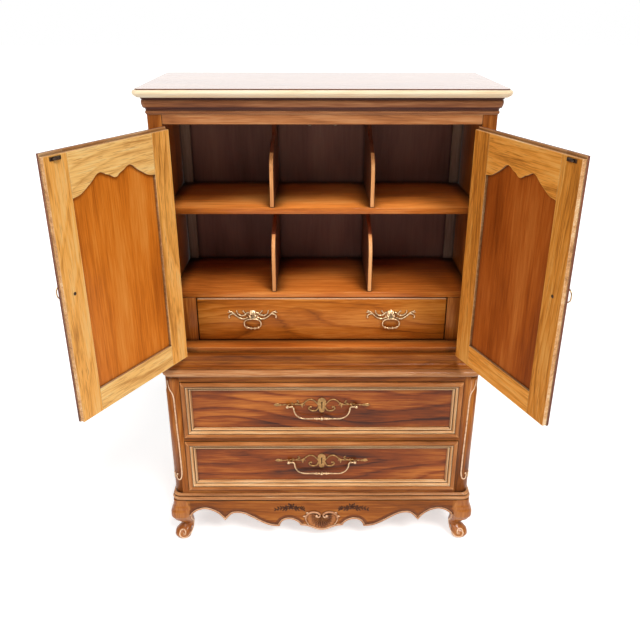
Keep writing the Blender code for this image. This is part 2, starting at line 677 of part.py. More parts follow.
def make_ring(name, width, drop, parent):
    """A flattened oval ring that hangs from its pivot."""
    points = []
    for step in range(24):
        angle = 2 * math.pi * (step + 0.5) / 24
        across = math.copysign(abs(math.cos(angle)) ** 0.8, math.cos(angle))
        up = math.copysign(abs(math.sin(angle)) ** 0.8, math.sin(angle))
        points.append((width / 2 * across, drop / 2 * (up - 1)))
    wire_curve(name, points, RING_WIRE, True, parent)


def make_bail(name, parent):
    """A swan-neck bail: a pin through each lug, a tight turn down and a long low bow."""
    turn = 0.007
    pin_inner = BAIL_SPAN / 2 - EYE_WIDTH / 2 - 0.0015
    pin_outer = BAIL_SPAN / 2 + EYE_WIDTH / 2 + 0.004
    bow_x = pin_inner - turn
    half = [(pin_outer, 0.0)]
    half += arc((pin_inner, -turn), (-turn, turn), 90, 0, 3)
    half += arc((bow_x - 0.036, -turn), (0.036, turn - BAIL_DROP), 0, 90, 6)[1:]
    points = half + [(-u, v) for u, v in reversed(half)]
    wire_curve(name, points, BAIL_WIRE, False, parent)


# Waist and lower case
def make_waist():
    """The lower case's moulded top, with the sill under the doors and the cove round the upper case."""
    waist = moulded_slab(
        "waist_board", FRUITWOOD, LOWER_HALF + WAIST_SIDE_OVERHANG, -LOWER_FRONT - WAIST_OVERHANG, CASE_BACK,
        WAIST_Z, WAIST_TOP, WAIST_CORNER_RADIUS, 0.008)
    cove_low = WAIST_TOP - WAIST_THICKNESS / 3
    cove = [(FIT, cove_low), (COVE_REACH, cove_low), (COVE_REACH, WAIST_TOP + 0.002)]
    hollow = (0.003 - COVE_REACH, 0.002 - COVE_HEIGHT)
    cove += arc((COVE_REACH, WAIST_TOP + COVE_HEIGHT), hollow, 90, 10, 4)[1:]
    cove += [(FIT, WAIST_TOP + COVE_HEIGHT)]
    ridge = mitred_moulding("waist_cove", FRUITWOOD, cove, UPPER_HALF, 0.0, CASE_BACK - 0.012)
    apply_tool(waist, ridge, "UNION")
    sill, centre = block_mesh("waist_sill", (-OPENING_HALF + FIT, OPENING_HALF - FIT),
                              (-0.002, STILE_THICKNESS), (cove_low, SILL_TOP))
    tool = add_object("waist_sill", sill, FRUITWOOD)
    tool.location = centre
    apply_tool(waist, tool, "UNION")


def make_lower_case():
    low, high = BASE_TOP + FIT, WAIST_Z - FIT
    post_back = POST_DEPTH - LOWER_FRONT
    for side, sign in (("left", -1), ("right", 1)):
        width = sorted((sign * POST_INNER, sign * LOWER_HALF))
        mesh, centre = block_mesh(f"corner_post_{side}", width, (-LOWER_FRONT, post_back), (low, high))
        round_corners(mesh, ((sign, -1),), POST_CORNER_RADIUS, 6)
        post = add_object(f"corner_post_{side}", mesh, FRUITWOOD)
        post.location = centre
        panel = sorted((sign * LOWER_SIDE_INNER, sign * LOWER_HALF))
        board(f"lower_side_{side}", FRUITWOOD, panel, (post_back + FIT, CASE_BACK), (low, high), edge=0.0008)
    inside = (-LOWER_SIDE_INNER + FIT, LOWER_SIDE_INNER - FIT)
    board("lower_back", BACK_WOOD, inside, (LOWER_BACK_Y, LOWER_BACK_Y + BACK_THICKNESS), (low, high))


def make_dust_panels():
    """Full-depth panels under, between and over the lower drawers, notched round the corner posts."""
    narrow = POST_INNER - FIT
    wide = LOWER_SIDE_INNER - FIT
    front, step = -LOWER_FRONT, POST_DEPTH - LOWER_FRONT + FIT
    back = LOWER_BACK_Y - FIT
    half = [(narrow, front), (narrow, step), (wide, step), (wide, back)]
    points = half + [(-x, y) for x, y in reversed(half)]
    outline = [(x, y, False) for x, y in points]
    panels = {
        "bottom": (BOTTOM_DUST_Z, DUST_THICKNESS),
        "middle": (MIDDLE_DUST_Z, DUST_THICKNESS),
        "top": (TOP_DUST_Z, TOP_DUST_THICKNESS),
    }
    for level, (low, thickness) in panels.items():
        outline_curve(f"dust_panel_{level}", FRUITWOOD, [outline], thickness, (0.0, 0.0, 0.0),
                      (0.0, 0.0, low + thickness / 2), resolution=1)


# Base
def make_base_board():
    moulded_slab(
        "base_board", FRUITWOOD, LOWER_HALF + BASE_OVERHANG, -LOWER_FRONT - BASE_OVERHANG, CASE_BACK,
        FOOT_HEIGHT, BASE_TOP, WAIST_CORNER_RADIUS, 0.007)


def make_apron():
    """The scalloped front skirt between the feet, with a carved shell at its middle."""
    top = FOOT_HEIGHT - FIT
    end = FOOT_CENTRE_X - FOOT_BLOCK_HALF - 2 * FIT
    drawn = [
        (0.0, 0.040, True), (0.040, 0.053, True), (0.058, 0.059, False), (0.075, 0.0605, False),
        (0.092, 0.080, True), (0.116, 0.088, True), (0.138, 0.078, True), (0.147, 0.057, False),
        (0.185, 0.062, True), (0.235, 0.090, True), (0.270, 0.111, True), (0.300, 0.116, True),
        (0.322, 0.104, True), (0.340, 0.083, False), (0.362, 0.113, True), (0.405, 0.133, True),
        (0.434, 0.125, True), (0.4504, 0.112, False)]
    # the drawn edge is spread to reach from foot to foot
    spread = end / drawn[-1][0]
    half = [(u * spread, v, smooth) for u, v, smooth in drawn]
    outline = half + [(end, top, False), (-end, top, False)]
    outline += [(-u, v, smooth) for u, v, smooth in reversed(half[1:])]
    face = -LOWER_FRONT - BASE_OVERHANG + 0.002
    apron = curve_to_mesh(outline_curve("front_apron", FRUITWOOD, [outline], APRON_THICKNESS, FACING_FRONT,
                                        (0.0, face + APRON_THICKNESS / 2, 0.0), resolution=4))
    shell = bpy.data.meshes.new("apron_shell")
    shape = bmesh.new()
    bmesh.ops.create_uvsphere(shape, u_segments=20, v_segments=10, radius=0.5)
    bmesh.ops.scale(shape, vec=(SHELL_WIDTH, 2 * SHELL_RELIEF, SHELL_HEIGHT), verts=shape.verts)
    shape.to_mesh(shell)
    shape.free()
    tool = add_object("apron_shell", shell, FRUITWOOD)
    tool.location = (0.0, face + 0.001, 0.036 + SHELL_HEIGHT / 2)
    apply_tool(apron, tool, "UNION")


def make_side_skirts():
    """Side skirts sawn from one board each, with the bracket foot at the back end."""
    top = FOOT_HEIGHT - FIT
    drop = top - SIDE_SKIRT_DEPTH
    front = FOOT_CENTRE_Y + FOOT_BLOCK_HALF + 2 * FIT
    foot = CASE_BACK - REAR_FOOT_WIDTH
    outline = [
        (front, drop, False), (front + 0.060, drop + 0.018, True), (front + 0.110, drop, False),
        (front + 0.150, drop + 0.012, True), (foot - 0.040, drop + 0.010, True),
        (foot - 0.006, drop - 0.030, True), (foot, 0.0, False), (CASE_BACK - FIT, 0.0, False),
        (CASE_BACK - FIT, top, False), (front, top, False)]
    face = LOWER_HALF + BASE_OVERHANG - 0.002
    for side, sign in (("left", -1), ("right", 1)):
        outline_curve(f"side_skirt_{side}", FRUITWOOD, [outline], APRON_THICKNESS, FACING_SIDE,
                      (sign * (face - APRON_THICKNESS / 2), 0.0, 0.0), resolution=4)


# Cabriole foot: height, outward shift of the section's centre, half width, and squareness of the section
FOOT_SECTIONS = (
    (0.000, 0.007, 0.020, 2.2), (0.005, 0.008, 0.0255, 2.2), (0.016, 0.0105, 0.0285, 2.2),
    (0.026, 0.009, 0.0278, 2.2), (0.036, 0.0035, 0.024, 2.2), (0.043, -0.004, 0.0212, 2.2),
    (0.051, -0.0085, 0.0198, 2.2), (0.060, -0.006, 0.0218, 2.2), (0.072, 0.000, 0.0268, 2.4),
    (0.088, 0.0065, 0.0325, 2.6), (0.104, 0.0095, 0.0352, 2.8), (0.120, 0.008, 0.036, 3.0),
    (0.136, 0.004, 0.035, 3.3), (0.150, 0.001, 0.0335, 3.7), (FOOT_HEIGHT - FIT, 0.000, FOOT_BLOCK_HALF, 4.0))


def make_front_foot(side, sign):
    """A cabriole foot: a knee at the corner, a thin ankle and a rounded scroll toe, lofted in one."""
    mesh = bpy.data.meshes.new(f"front_foot_{side}")
    shape = bmesh.new()
    rings = []
    steps = 16
    for height, shift, half, power in FOOT_SECTIONS:
        ring = []
        for step in range(steps):
            angle = 2 * math.pi * step / steps
            across = math.copysign(abs(math.cos(angle)) ** (2 / power), math.cos(angle))
            along = math.copysign(abs(math.sin(angle)) ** (2 / power), math.sin(angle))
            ring.append(shape.verts.new((sign * shift + half * across, -shift + half * along, height)))
        rings.append(ring)
    for low, high in zip(rings, rings[1:]):
        for step in range(steps):
            following = (step + 1) % steps
            shape.faces.new((low[step], low[following], high[following], high[step]))
    shape.faces.new(rings[0][::-1])
    shape.faces.new(rings[-1])
    bmesh.ops.recalc_face_normals(shape, faces=shape.faces)
    shape.to_mesh(mesh)
    shape.free()
    mesh.shade_smooth()
    mesh.set_sharp_from_angle(angle=math.radians(50))
    foot = add_object(f"front_foot_{side}", mesh, FRUITWOOD)
    foot.location = (sign * FOOT_CENTRE_X, FOOT_CENTRE_Y, 0.0)


make_top()
make_cornice()
make_upper_case()
make_fillers()
make_shelf_dividers()
make_hinges()
make_door("left", -1, LEFT_DOOR_ANGLE)
make_door("right", 1, RIGHT_DOOR_ANGLE)
make_inner_drawer()
make_waist()
make_lower_case()
make_dust_panels()
make_lower_drawer("middle", MIDDLE_DRAWER_Z, MIDDLE_DRAWER_HEIGHT, MIDDLE_DRAWER_OUT)
make_lower_drawer("bottom", BOTTOM_DRAWER_Z, BOTTOM_DRAWER_HEIGHT, BOTTOM_DRAWER_OUT)
make_base_board()
make_apron()
make_side_skirts()
make_front_foot("left", -1)
make_front_foot("right", 1)
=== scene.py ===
"""The looks of a door chest: woods, mouldings, carving, brass pulls, light and camera.

Lengths are metres, but profiles, carving and castings are drawn in millimetres. +Z is up and
the front faces -Y. A piece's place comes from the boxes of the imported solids, and each piece
rides on the body of the solid it stands for.
"""
import json
import math

import bmesh
import bpy
from mathutils import Matrix, Vector

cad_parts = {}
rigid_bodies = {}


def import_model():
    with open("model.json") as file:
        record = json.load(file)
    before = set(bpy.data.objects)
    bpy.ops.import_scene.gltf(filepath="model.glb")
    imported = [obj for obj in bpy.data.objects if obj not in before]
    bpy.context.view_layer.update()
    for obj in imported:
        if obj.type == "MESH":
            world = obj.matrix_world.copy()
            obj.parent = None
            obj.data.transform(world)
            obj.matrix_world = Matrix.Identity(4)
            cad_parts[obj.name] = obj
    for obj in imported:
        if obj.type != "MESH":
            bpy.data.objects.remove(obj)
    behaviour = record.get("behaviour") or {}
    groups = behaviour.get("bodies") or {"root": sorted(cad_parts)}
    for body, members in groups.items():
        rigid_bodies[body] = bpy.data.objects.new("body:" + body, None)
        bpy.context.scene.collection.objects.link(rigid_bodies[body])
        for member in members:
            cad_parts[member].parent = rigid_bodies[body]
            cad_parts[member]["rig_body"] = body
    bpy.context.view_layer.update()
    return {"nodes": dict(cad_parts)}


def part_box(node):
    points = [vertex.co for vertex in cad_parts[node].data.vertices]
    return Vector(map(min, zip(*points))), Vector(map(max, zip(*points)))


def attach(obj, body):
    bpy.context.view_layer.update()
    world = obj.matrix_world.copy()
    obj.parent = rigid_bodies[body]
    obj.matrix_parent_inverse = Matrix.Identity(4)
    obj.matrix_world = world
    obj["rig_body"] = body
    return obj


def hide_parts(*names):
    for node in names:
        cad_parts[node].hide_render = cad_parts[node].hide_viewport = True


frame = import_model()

NODES = frame["nodes"]
FRONT = Vector((0.0, -1.0, 0.0))
SIDES = {"left": -1, "right": 1}
PROUD = 0.0004  # how far a piece stands clear of its neighbour

# Camera, solved from the photograph's edges
CAMERA_PLACE = Vector((-0.0189, -2.0226, 1.7524))
CAMERA_YAW = math.radians(-0.356)
CAMERA_TILT = math.radians(90.0 - 24.24)
CAMERA_ROLL = 0.0014
CAMERA_LENS = 39.88
SENSOR_WIDTH = 36.0


# Small helpers
def srgb(red, green, blue):
    """A colour given as 0 to 255 on the screen, in the linear values that a shader takes."""
    linear = []
    for value in (red, green, blue):
        value /= 255
        linear.append(value / 12.92 if value <= 0.04045 else ((value + 0.055) / 1.055) ** 2.4)
    return (*linear, 1)


def low(node):
    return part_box(node)[0]


def high(node):
    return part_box(node)[1]


def mm(points):
    """A drawing's points, from millimetres to metres."""
    return [Vector(point) / 1000 for point in points]


def block(left, right, bottom, top):
    """The corners of an upright rectangle, as (x, z)."""
    return [(left, bottom), (right, bottom), (right, top), (left, top)]


def flipped(points, sign):
    """A flat drawing, mirrored left to right where sign is -1."""
    return [(sign * x, z) for x, z in points]


def doubled(half):
    """A line that starts on the middle, with its mirror image before it."""
    return [Vector((-x, z)) for x, z in reversed(half[1:])] + half


# Materials
class Graph:
    """Adds nodes to a material or a world; an input is a plain value or another node's output."""

    def __init__(self, owner):
        owner.use_nodes = True
        self.owner = owner
        self.tree = owner.node_tree
        self.shader = self.tree.nodes.get("Principled BSDF")

    def add(self, kind, inputs, output=0, **settings):
        node = self.tree.nodes.new("ShaderNode" + kind)
        for name, value in settings.items():
            setattr(node, name, value)
        for name, value in inputs.items():
            self.feed(node.inputs[name], value)
        return node.outputs[output]

    def feed(self, socket, value):
        if isinstance(value, bpy.types.NodeSocket):
            self.tree.links.new(value, socket)
        else:
            socket.default_value = value

    def math(self, operation, first, second=0, third=0):
        return self.add("Math", {0: first, 1: second, 2: third}, operation=operation)

    def mix(self, factor, first, second):
        return self.add("Mix", {0: factor, 6: first, 7: second}, 2, data_type="RGBA")

    def noise(self, vector, scale, detail=2, distortion=0):
        settings = {"Vector": vector, "Scale": scale, "Detail": detail, "Distortion": distortion}
        return self.add("TexNoise", settings)

    def span(self, value, start, end, to_start=0, to_end=1):
        settings = {"Value": value, 1: start, 2: end, 3: to_start, 4: to_end}
        return self.add("MapRange", settings, interpolation_type="SMOOTHSTEP")

    def ramp(self, factor, stops):
        output = self.add("ValToRGB", {0: factor})
        elements = output.node.color_ramp.elements
        while len(elements) < len(stops):
            elements.new(0.5)
        for element, (place, colour) in zip(elements, stops):
            element.position = place
            element.color = colour
        return output

    def occlusion(self, distance, inside=False):
        return self.add("AmbientOcclusion", {"Distance": distance}, 1, samples=6, inside=inside)

    def surface(self, colour, roughness, height, strength, depth, **extra):
        """Feeds the shader, with a bump; the names of extra inputs have _ for a space."""
        bump = self.add("Bump", {"Height": height, "Strength": strength, "Distance": depth})
        inputs = {"Base_Color": colour, "Roughness": roughness, "Normal": bump, **extra}
        for name, value in inputs.items():
            self.feed(self.shader.inputs[name.replace("_", " ")], value)
        return self.owner


# Dark glaze colour, also the colour of the painted shade in corners and recesses
GLAZE_AND_SHADE = srgb(38, 18, 10)


def wood(name, tones, grain, lines=20, swirl=9, figure=0.3, streaks=0.6, clouds=0.8, ribbon=0,
         dashes=0.25, fine=0.6, glaze_and_shade=0.75, reach=0.014, wear_and_highlight=0.35, coat=0.08, rough=0.4):
    """Finished wood. tones are its dark, middle and light colours, and grain names the axes that run
    along the grain, across the face and into the board, or says round for a moulding with corners."""
    graph = Graph(bpy.data.materials.new(name))
    dark, middle, light = [srgb(*tone) for tone in tones]
    parts = graph.add("SeparateXYZ", {0: graph.add("TexCoord", {}, 3)}).node.outputs
    along, across, deep = [parts["xyz".index(axis)] for axis in grain.replace("round", "xzy")]
    if grain == "round":
        side = graph.add("SeparateXYZ", {0: graph.add("TexCoord", {}, 1)})
        turn = graph.math("GREATER_THAN", graph.math("ABSOLUTE", side), 0.7)
        along, deep = (graph.math("MULTIPLY_ADD", turn, graph.math("SUBTRACT", other, axis), axis)
                       for axis, other in ((along, deep), (deep, along)))
    shift = graph.math("MULTIPLY", graph.add("ObjectInfo", {}, "Random"), 37)
    inwards = graph.math("ADD", deep, graph.math("MULTIPLY", shift, 0.37))
    board = graph.add("CombineXYZ", {0: graph.math("ADD", along, shift), 1: across, 2: inwards})

    def long_noise(length, width, detail=2, distortion=0):
        """Noise whose spots are drawn out along the grain."""
        place = graph.add("VectorMath", {0: board, 1: (length, width, width)}, operation="MULTIPLY")
        return graph.noise(place, 1, detail, distortion)

    # Growth rings: contour lines of a long soft noise, so that they close into flames and ovals
    swell = long_noise(1.1, 5, 1, 0.2)
    level = graph.math("MULTIPLY_ADD", swell, swirl, graph.math("MULTIPLY", across, lines))
    ripple = graph.math("MULTIPLY", long_noise(16, 140), 0.3)
    greys = ((0, 0.25), (0.12, 0.7), (0.6, 0.56), (0.88, 0.3), (0.96, 0), (1, 0.25))
    ring_tone = graph.ramp(graph.math("FRACT", graph.math("ADD", level, ripple)),
                           [(place, (grey, grey, grey, 1)) for place, grey in greys])
    fibre, streak, cloud = long_noise(14, 330), long_noise(6, 110, 3), long_noise(2.6, 9)
    layers = [(fibre, fine), (streak, streaks), (cloud, clouds)]
    if ribbon:
        layers.append((long_noise(0.9, 28, 1), ribbon))
    tone = graph.math("MULTIPLY_ADD", graph.math("SUBTRACT", ring_tone, 0.5), figure, 0.5)
    for layer, weight in layers:
        tone = graph.math("ADD", tone, graph.math("MULTIPLY_ADD", layer, weight, -0.5 * weight))
    colour = graph.ramp(tone, ((0.05, dark), (0.5, middle), (0.95, light)))
    open_grain = graph.math("ADD", cloud, graph.math("MULTIPLY", ring_tone, -0.4))
    pores = graph.math("MULTIPLY", graph.span(long_noise(26, 420, 1), 0.55, 0.66),
                       graph.span(open_grain, 0.42, 0.18, 0.25, 1))
    colour = graph.mix(graph.math("MULTIPLY", pores, dashes), colour, dark)

    # Painted shade: dark glaze mixed in where ambient occlusion finds corners and recesses, standing for
    # glaze and shade at once. Edges lightened: partly finish rubbed thin, partly painted highlight
    edge = graph.span(graph.occlusion(0.0035, inside=True), 0.92, 0.45)
    rubbed_and_highlit = graph.math("MULTIPLY", edge, graph.span(streak, 0.3, 0.6, 0.5 * wear_and_highlight, wear_and_highlight))
    colour = graph.mix(rubbed_and_highlit, colour, light)
    corner = graph.span(graph.occlusion(reach), 0.95, 0.35)
    colour = graph.mix(graph.math("MULTIPLY", corner, glaze_and_shade), colour, GLAZE_AND_SHADE)
    roughness = graph.math("MULTIPLY_ADD", fibre, 0.16, rough - 0.08)
    return graph.surface(colour, roughness, graph.math("SUBTRACT", fibre, pores), 0.25, 0.0004,
                         Coat_Weight=coat, Coat_Roughness=0.12, Specular_IOR_Level=0.15)


def metal(name, bright, dull, rough):
    """Antiqued metal: dull in its hollows and rubbed bright on its ridges."""
    graph = Graph(bpy.data.materials.new(name))
    patina = graph.noise(graph.add("TexCoord", {}, 3), 160, 3)
    hollow = graph.span(graph.occlusion(0.005), 0.95, 0.35)
    ridge = graph.span(graph.occlusion(0.0015, inside=True), 0.95, 0.5)
    dulled = graph.math("MULTIPLY", hollow, 0.55)
    worn = graph.math("SUBTRACT", graph.math("MULTIPLY", ridge, 0.4), dulled)
    tone = graph.math("ADD", graph.math("MULTIPLY_ADD", patina, 0.9, -0.05), worn)
    colour = graph.ramp(tone, ((0, srgb(*dull)), (0.55, srgb(*bright))))
    roughness = graph.math("MULTIPLY_ADD", patina, 0.25, rough - 0.12)
    return graph.surface(colour, roughness, patina, 0.15, 0.0003, Metallic=1)


CASE_TONES = ((80, 36, 8), (152, 82, 24), (204, 132, 58))
MOULD_TONES = ((128, 74, 36), (220, 162, 104), (255, 232, 190))
RIM_TONES = ((104, 56, 22), (176, 108, 54), (222, 156, 98))
# Dark tones of painted shade: on the doors' edges, in the quirk under the top's nose and on the dividers'
# upper edges
LIP_SHADE_TONES = ((70, 34, 22), (112, 60, 42), (150, 92, 64))

CASE_X = wood("fruitwood_rail", CASE_TONES, "xzy")
CASE_Z = wood("fruitwood_stile", CASE_TONES, "zxy")
CASE_SIDE = wood("fruitwood_side", CASE_TONES, "zyx")
CASE_ROUND = wood("fruitwood_cove", CASE_TONES, "round")
# The top rail's copy of the case wood is paler and greyer: partly its own tone, partly painted sheen
RAIL_X = wood("top_rail_wood", ((110, 60, 30), (182, 116, 66), (220, 162, 110)), "xzy")
TOP_WOOD = wood("fruitwood_top", ((132, 74, 40), (186, 118, 70), (218, 158, 108)), "xyz",
                figure=0.2, coat=1, rough=0.25)
# The top's front edge is near white: painted highlight
NOSE_HIGHLIT = wood("top_edge_highlit_wood", ((228, 180, 132), (255, 234, 196), (255, 246, 224)), "round",
              figure=0.12, streaks=0.5, dashes=0.1, glaze_and_shade=0.6, coat=0.5)

# In these settings glaze sets the painted shade in corners, and wear sets the lightened edges, which are
# partly painted highlight
CROWN = {"figure": 0.15, "glaze_and_shade": 1, "reach": 0.01}
CORNICE_X = wood("cornice_wood", ((80, 40, 24), (148, 92, 56), (206, 146, 98)), "round", wear_and_highlight=0.8, **CROWN)
CORNICE_SHADE = wood("cornice_groove_shade", ((52, 26, 20), (92, 50, 38), (132, 80, 58)), "round", **CROWN)

MOULDED = {"figure": 0.1, "streaks": 0.5, "glaze_and_shade": 1, "reach": 0.006}
POLISHED = {"clouds": 0.5, "wear_and_highlight": 0.8, "coat": 0.3, **MOULDED}
MOULD_X = wood("moulding_across", MOULD_TONES, "xzy", **POLISHED)
MOULD_Z = wood("moulding_upright", MOULD_TONES, "zxy", **POLISHED)
MOULD_ROUND = wood("moulding_round", ((104, 56, 26), (184, 122, 72), (246, 204, 154)), "round", **POLISHED)
# Pale wood for beads and scrolls; the strong edge lightening is partly painted highlight
BEAD_WOOD = wood("rubbed_bead", ((104, 56, 30), (186, 124, 82), (250, 210, 172)), "xzy",
                 clouds=0.4, wear_and_highlight=0.9, **MOULDED)
RIM = {"figure": 0.2, "glaze_and_shade": 0.9, "reach": 0.006, "wear_and_highlight": 0.7}
RIM_X = wood("drawer_rim_across", RIM_TONES, "xzy", **RIM)
RIM_Z = wood("drawer_rim_upright", RIM_TONES, "zxy", **RIM)

# Door woods: the left door's are paler than the right's, partly the wood's own tone and partly painted light
# and shade
DOOR_WOODS = {}
for door, member, run, tones in (
        ("left", "rail", "xzy", ((186, 116, 46), (255, 204, 122), (255, 232, 170))),
        ("left", "stile", "zxy", ((160, 92, 30), (250, 180, 88), (254, 216, 144))),
        ("right", "rail", "xzy", ((144, 80, 26), (240, 160, 66), (255, 202, 116))),
        ("right", "stile", "zxy", ((130, 68, 18), (220, 142, 54), (246, 190, 104)))):
    DOOR_WOODS[door, member] = wood(f"{door}_door_{member}", tones, run, lines=26, figure=0.36, clouds=0.7,
                                    dashes=0.5, wear_and_highlight=0.5, glaze_and_shade=0.5)
DOOR_EDGE_X = wood("door_edge_across", MOULD_TONES, "xzy", figure=0.2)
DOOR_LIP_SHADE = wood("door_lip_shade", LIP_SHADE_TONES, "zxy", figure=0.2)
# Panel veneers: the left is paler than the right, partly the veneer's own tone and partly painted light and
# shade. The wide reach spreads painted shade along the frame
PANELS = {}
for face, tones in (("left", ((160, 76, 10), (220, 124, 34), (240, 160, 72))),
                    ("right", ((116, 48, 6), (172, 86, 26), (208, 124, 54))),
                    ("outer", ((100, 42, 6), (156, 78, 24), (204, 122, 52)))):
    PANELS[face] = wood(f"{face}_panel_veneer", tones, "zxy", lines=6, swirl=3, figure=0.1, ribbon=0.6,
                        streaks=0.4, clouds=1.1, dashes=0.12, reach=0.03)
# The wide reach darkens the veneer beside the sticks: painted shade
VENEER = wood("drawer_veneer", ((60, 22, 4), (140, 64, 12), (210, 126, 50)), "xzy", lines=16, swirl=10,
              figure=0.55, streaks=0.45, clouds=1.3, reach=0.03, coat=0.25)
INNER_FRONT = wood("inner_drawer_veneer", ((96, 46, 8), (178, 98, 26), (222, 148, 66)), "xzy", lines=16,
                   figure=0.45, streaks=0.45, clouds=1.1)

# Shelves: the wide reach darkens the back of each shelf with painted shade, and the strong edge lightening is
# partly painted highlight
SHELF = {"figure": 0.2, "coat": 0.25, "reach": 0.05, "glaze_and_shade": 0.9, "wear_and_highlight": 0.9}
SHELF_X = wood("shelf_board", ((136, 62, 14), (200, 112, 42), (236, 156, 76)), "xyz", **SHELF)
# A paler copy of the shelf wood for the upper shelf's top: painted light
SHELF_LIT = wood("upper_shelf_lit_board", ((156, 76, 20), (238, 142, 60), (252, 184, 104)), "xyz", **SHELF)
# Divider woods: the dark sides and upper edges are painted shade, and the pale front edge is a painted
# highlight
DIVIDER_SIDE_SHADE = wood("divider_board_shade", ((60, 32, 20), (98, 58, 38), (134, 86, 58)), "zyx", figure=0.2,
                    reach=0.03)
DIVIDER_EDGE_LIT = wood("divider_edge_lit", ((180, 112, 58), (228, 162, 102), (246, 196, 140)), "zyx", figure=0.15)
DIVIDER_TOP_SHADE = wood("divider_top_edge_shade", LIP_SHADE_TONES, "yxz", figure=0.15)
BACK_BOARD = wood("back_panel", ((88, 60, 54), (134, 98, 88), (166, 126, 112)), "zxy", figure=0.05,
                  streaks=0.25, fine=0.2, dashes=0.1, coat=0, rough=0.5)
CLEAT = wood("back_cleat", ((118, 98, 84), (164, 140, 122), (190, 168, 148)), "zxy", figure=0.1, coat=0,
             rough=0.6)

LINING = {"figure": 0.2, "streaks": 0.5, "coat": 0, "rough": 0.5}
# Sides, back and floor of the linings differ in grain and in tone. The tones are partly painted light and
# shade, set for how light falls on each face
BOX_SIDE = wood("drawer_lining", ((204, 132, 66), (238, 172, 100), (252, 206, 142)), "yzx", **LINING)
BOX_BACK = wood("drawer_lining_back", ((206, 134, 66), (250, 180, 100), (255, 206, 140)), "xzy", **LINING)
BOX_FLOOR = wood("drawer_lining_floor", ((186, 118, 56), (224, 162, 88), (248, 200, 134)), "xyz", **LINING)
# Pale wood for faces that look up: painted highlight, partly rubbed wear
FRONT_EDGE_HIGHLIGHT = wood("drawer_front_edge_highlight", ((168, 104, 64), (240, 190, 146), (255, 224, 190)), "xyz", figure=0.1,
                  streaks=0.5)

APRON_WOOD = wood("apron_board", CASE_TONES, "xzy", figure=0.25, glaze_and_shade=0.9, reach=0.008)
# Dark wood for the low band beside the apron's bead: painted shade standing for a cove
COVE_SHADE = wood("apron_cove_wood", ((62, 28, 12), (96, 48, 22), (144, 84, 46)), "xzy", figure=0.1, glaze_and_shade=0.9,
                 reach=0.004, wear_and_highlight=0.4)
FOOT_WOOD = wood("foot_wood", CASE_TONES, "zxy", figure=0.2, streaks=0.4, fine=0.4, clouds=1.2, glaze_and_shade=0.3,
                 coat=0.5)
CARVED = {"figure": 0.1, "glaze_and_shade": 0.95}
CARVED_WOOD = wood("carved_shell", ((50, 22, 8), (112, 58, 26), (206, 134, 76)), "zxy", wear_and_highlight=0.7, **CARVED)
SPRAY_WOOD = wood("carved_spray", ((30, 12, 6), (66, 32, 14), (112, 62, 30)), "xzy", wear_and_highlight=0.3, **CARVED)
BRASS = metal("antique_brass", (240, 208, 164), (96, 68, 42), 0.32)
PLATE_BRASS = metal("dulled_brass", (188, 146, 94), (84, 58, 34), 0.42)
DARK_METAL = metal("dark_steel", (96, 78, 66), (34, 24, 20), 0.45)
KEYHOLE_SHADE = metal("keyhole_painted_shade", (40, 26, 16), (18, 12, 8), 0.6)


# Making pieces
def placed(name, data):
    """A new object in the scene that shows a mesh, a lamp or a camera."""
    item = bpy.data.objects.new(name, data)
    bpy.context.scene.collection.objects.link(item)
    return item


def to_mesh(name, shape):
    bmesh.ops.recalc_face_normals(shape, faces=shape.faces)
    mesh = bpy.data.meshes.new(name)
    shape.to_mesh(mesh)
    shape.free()
    return mesh


def settle(name, shape, materials, node, slot="fruitwood", replaces=False, matrix=None, smooth=35):
    """Makes a piece of a shape or a mesh. It rides with a node's body and may replace the node."""
    mesh = to_mesh(name, shape) if isinstance(shape, bmesh.types.BMesh) else shape
    piece = placed(name, mesh)
    for material in materials if isinstance(materials, list) else [materials]:
        mesh.materials.append(material)
    if matrix:
        piece.matrix_world = matrix
    mesh.shade_smooth()
    mesh.set_sharp_from_angle(angle=math.radians(smooth))
    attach(piece, NODES[node]["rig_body"])
    if replaces:
        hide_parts(node)
    return piece


def bevel(piece, width, segments=3):
    edge = piece.modifiers.new("edges", "BEVEL")
    edge.width = width
    edge.segments = segments
    edge.limit_method = "ANGLE"
    edge.angle_limit = math.radians(40)
    edge.harden_normals = True


def paint(piece, choose):
    """Gives each face the material whose number choose returns for it."""
    for face in piece.data.polygons:
        face.material_index = choose(face)


def copied(node, material, slot="fruitwood", width=0, matrix=None):
    """A piece with the same shape as a solid, with its edges eased."""
    mesh = NODES[node].data.copy()
    mesh.materials.clear()
    if matrix:
        mesh.transform(matrix.inverted())
    shape = bmesh.new()
    shape.from_mesh(mesh)
    bmesh.ops.remove_doubles(shape, verts=shape.verts, dist=0.00001)
    shape.to_mesh(mesh)
    shape.free()
    piece = settle(f"{node}_finish", mesh, material, node, slot, True, matrix)
    if width:
        bevel(piece, width)
    return piece


def loft(shape, rings, closed=True, capped=False):
    """Faces between successive rings of points; each ring has as many points as the next."""
    rows = [[shape.verts.new(point) for point in ring] for ring in rings]
    count = len(rows[0])
    for first, second in zip(rows, rows[1:]):
        for index in range(count if closed else count - 1):
            after = (index + 1) % count
            shape.faces.new((first[index], first[after], second[after], second[index]))
    if capped:
        shape.faces.new(rows[0])
        shape.faces.new(rows[-1])


def arc(centre, reach, start, end, steps):
    """Points on an ellipse round a centre, from one angle in degrees to another."""
    points = []
    for step in range(steps + 1):
        angle = math.radians(start + (end - start) * step / steps)
        points.append((centre[0] + reach[0] * math.cos(angle), centre[1] + reach[1] * math.sin(angle)))
    return points


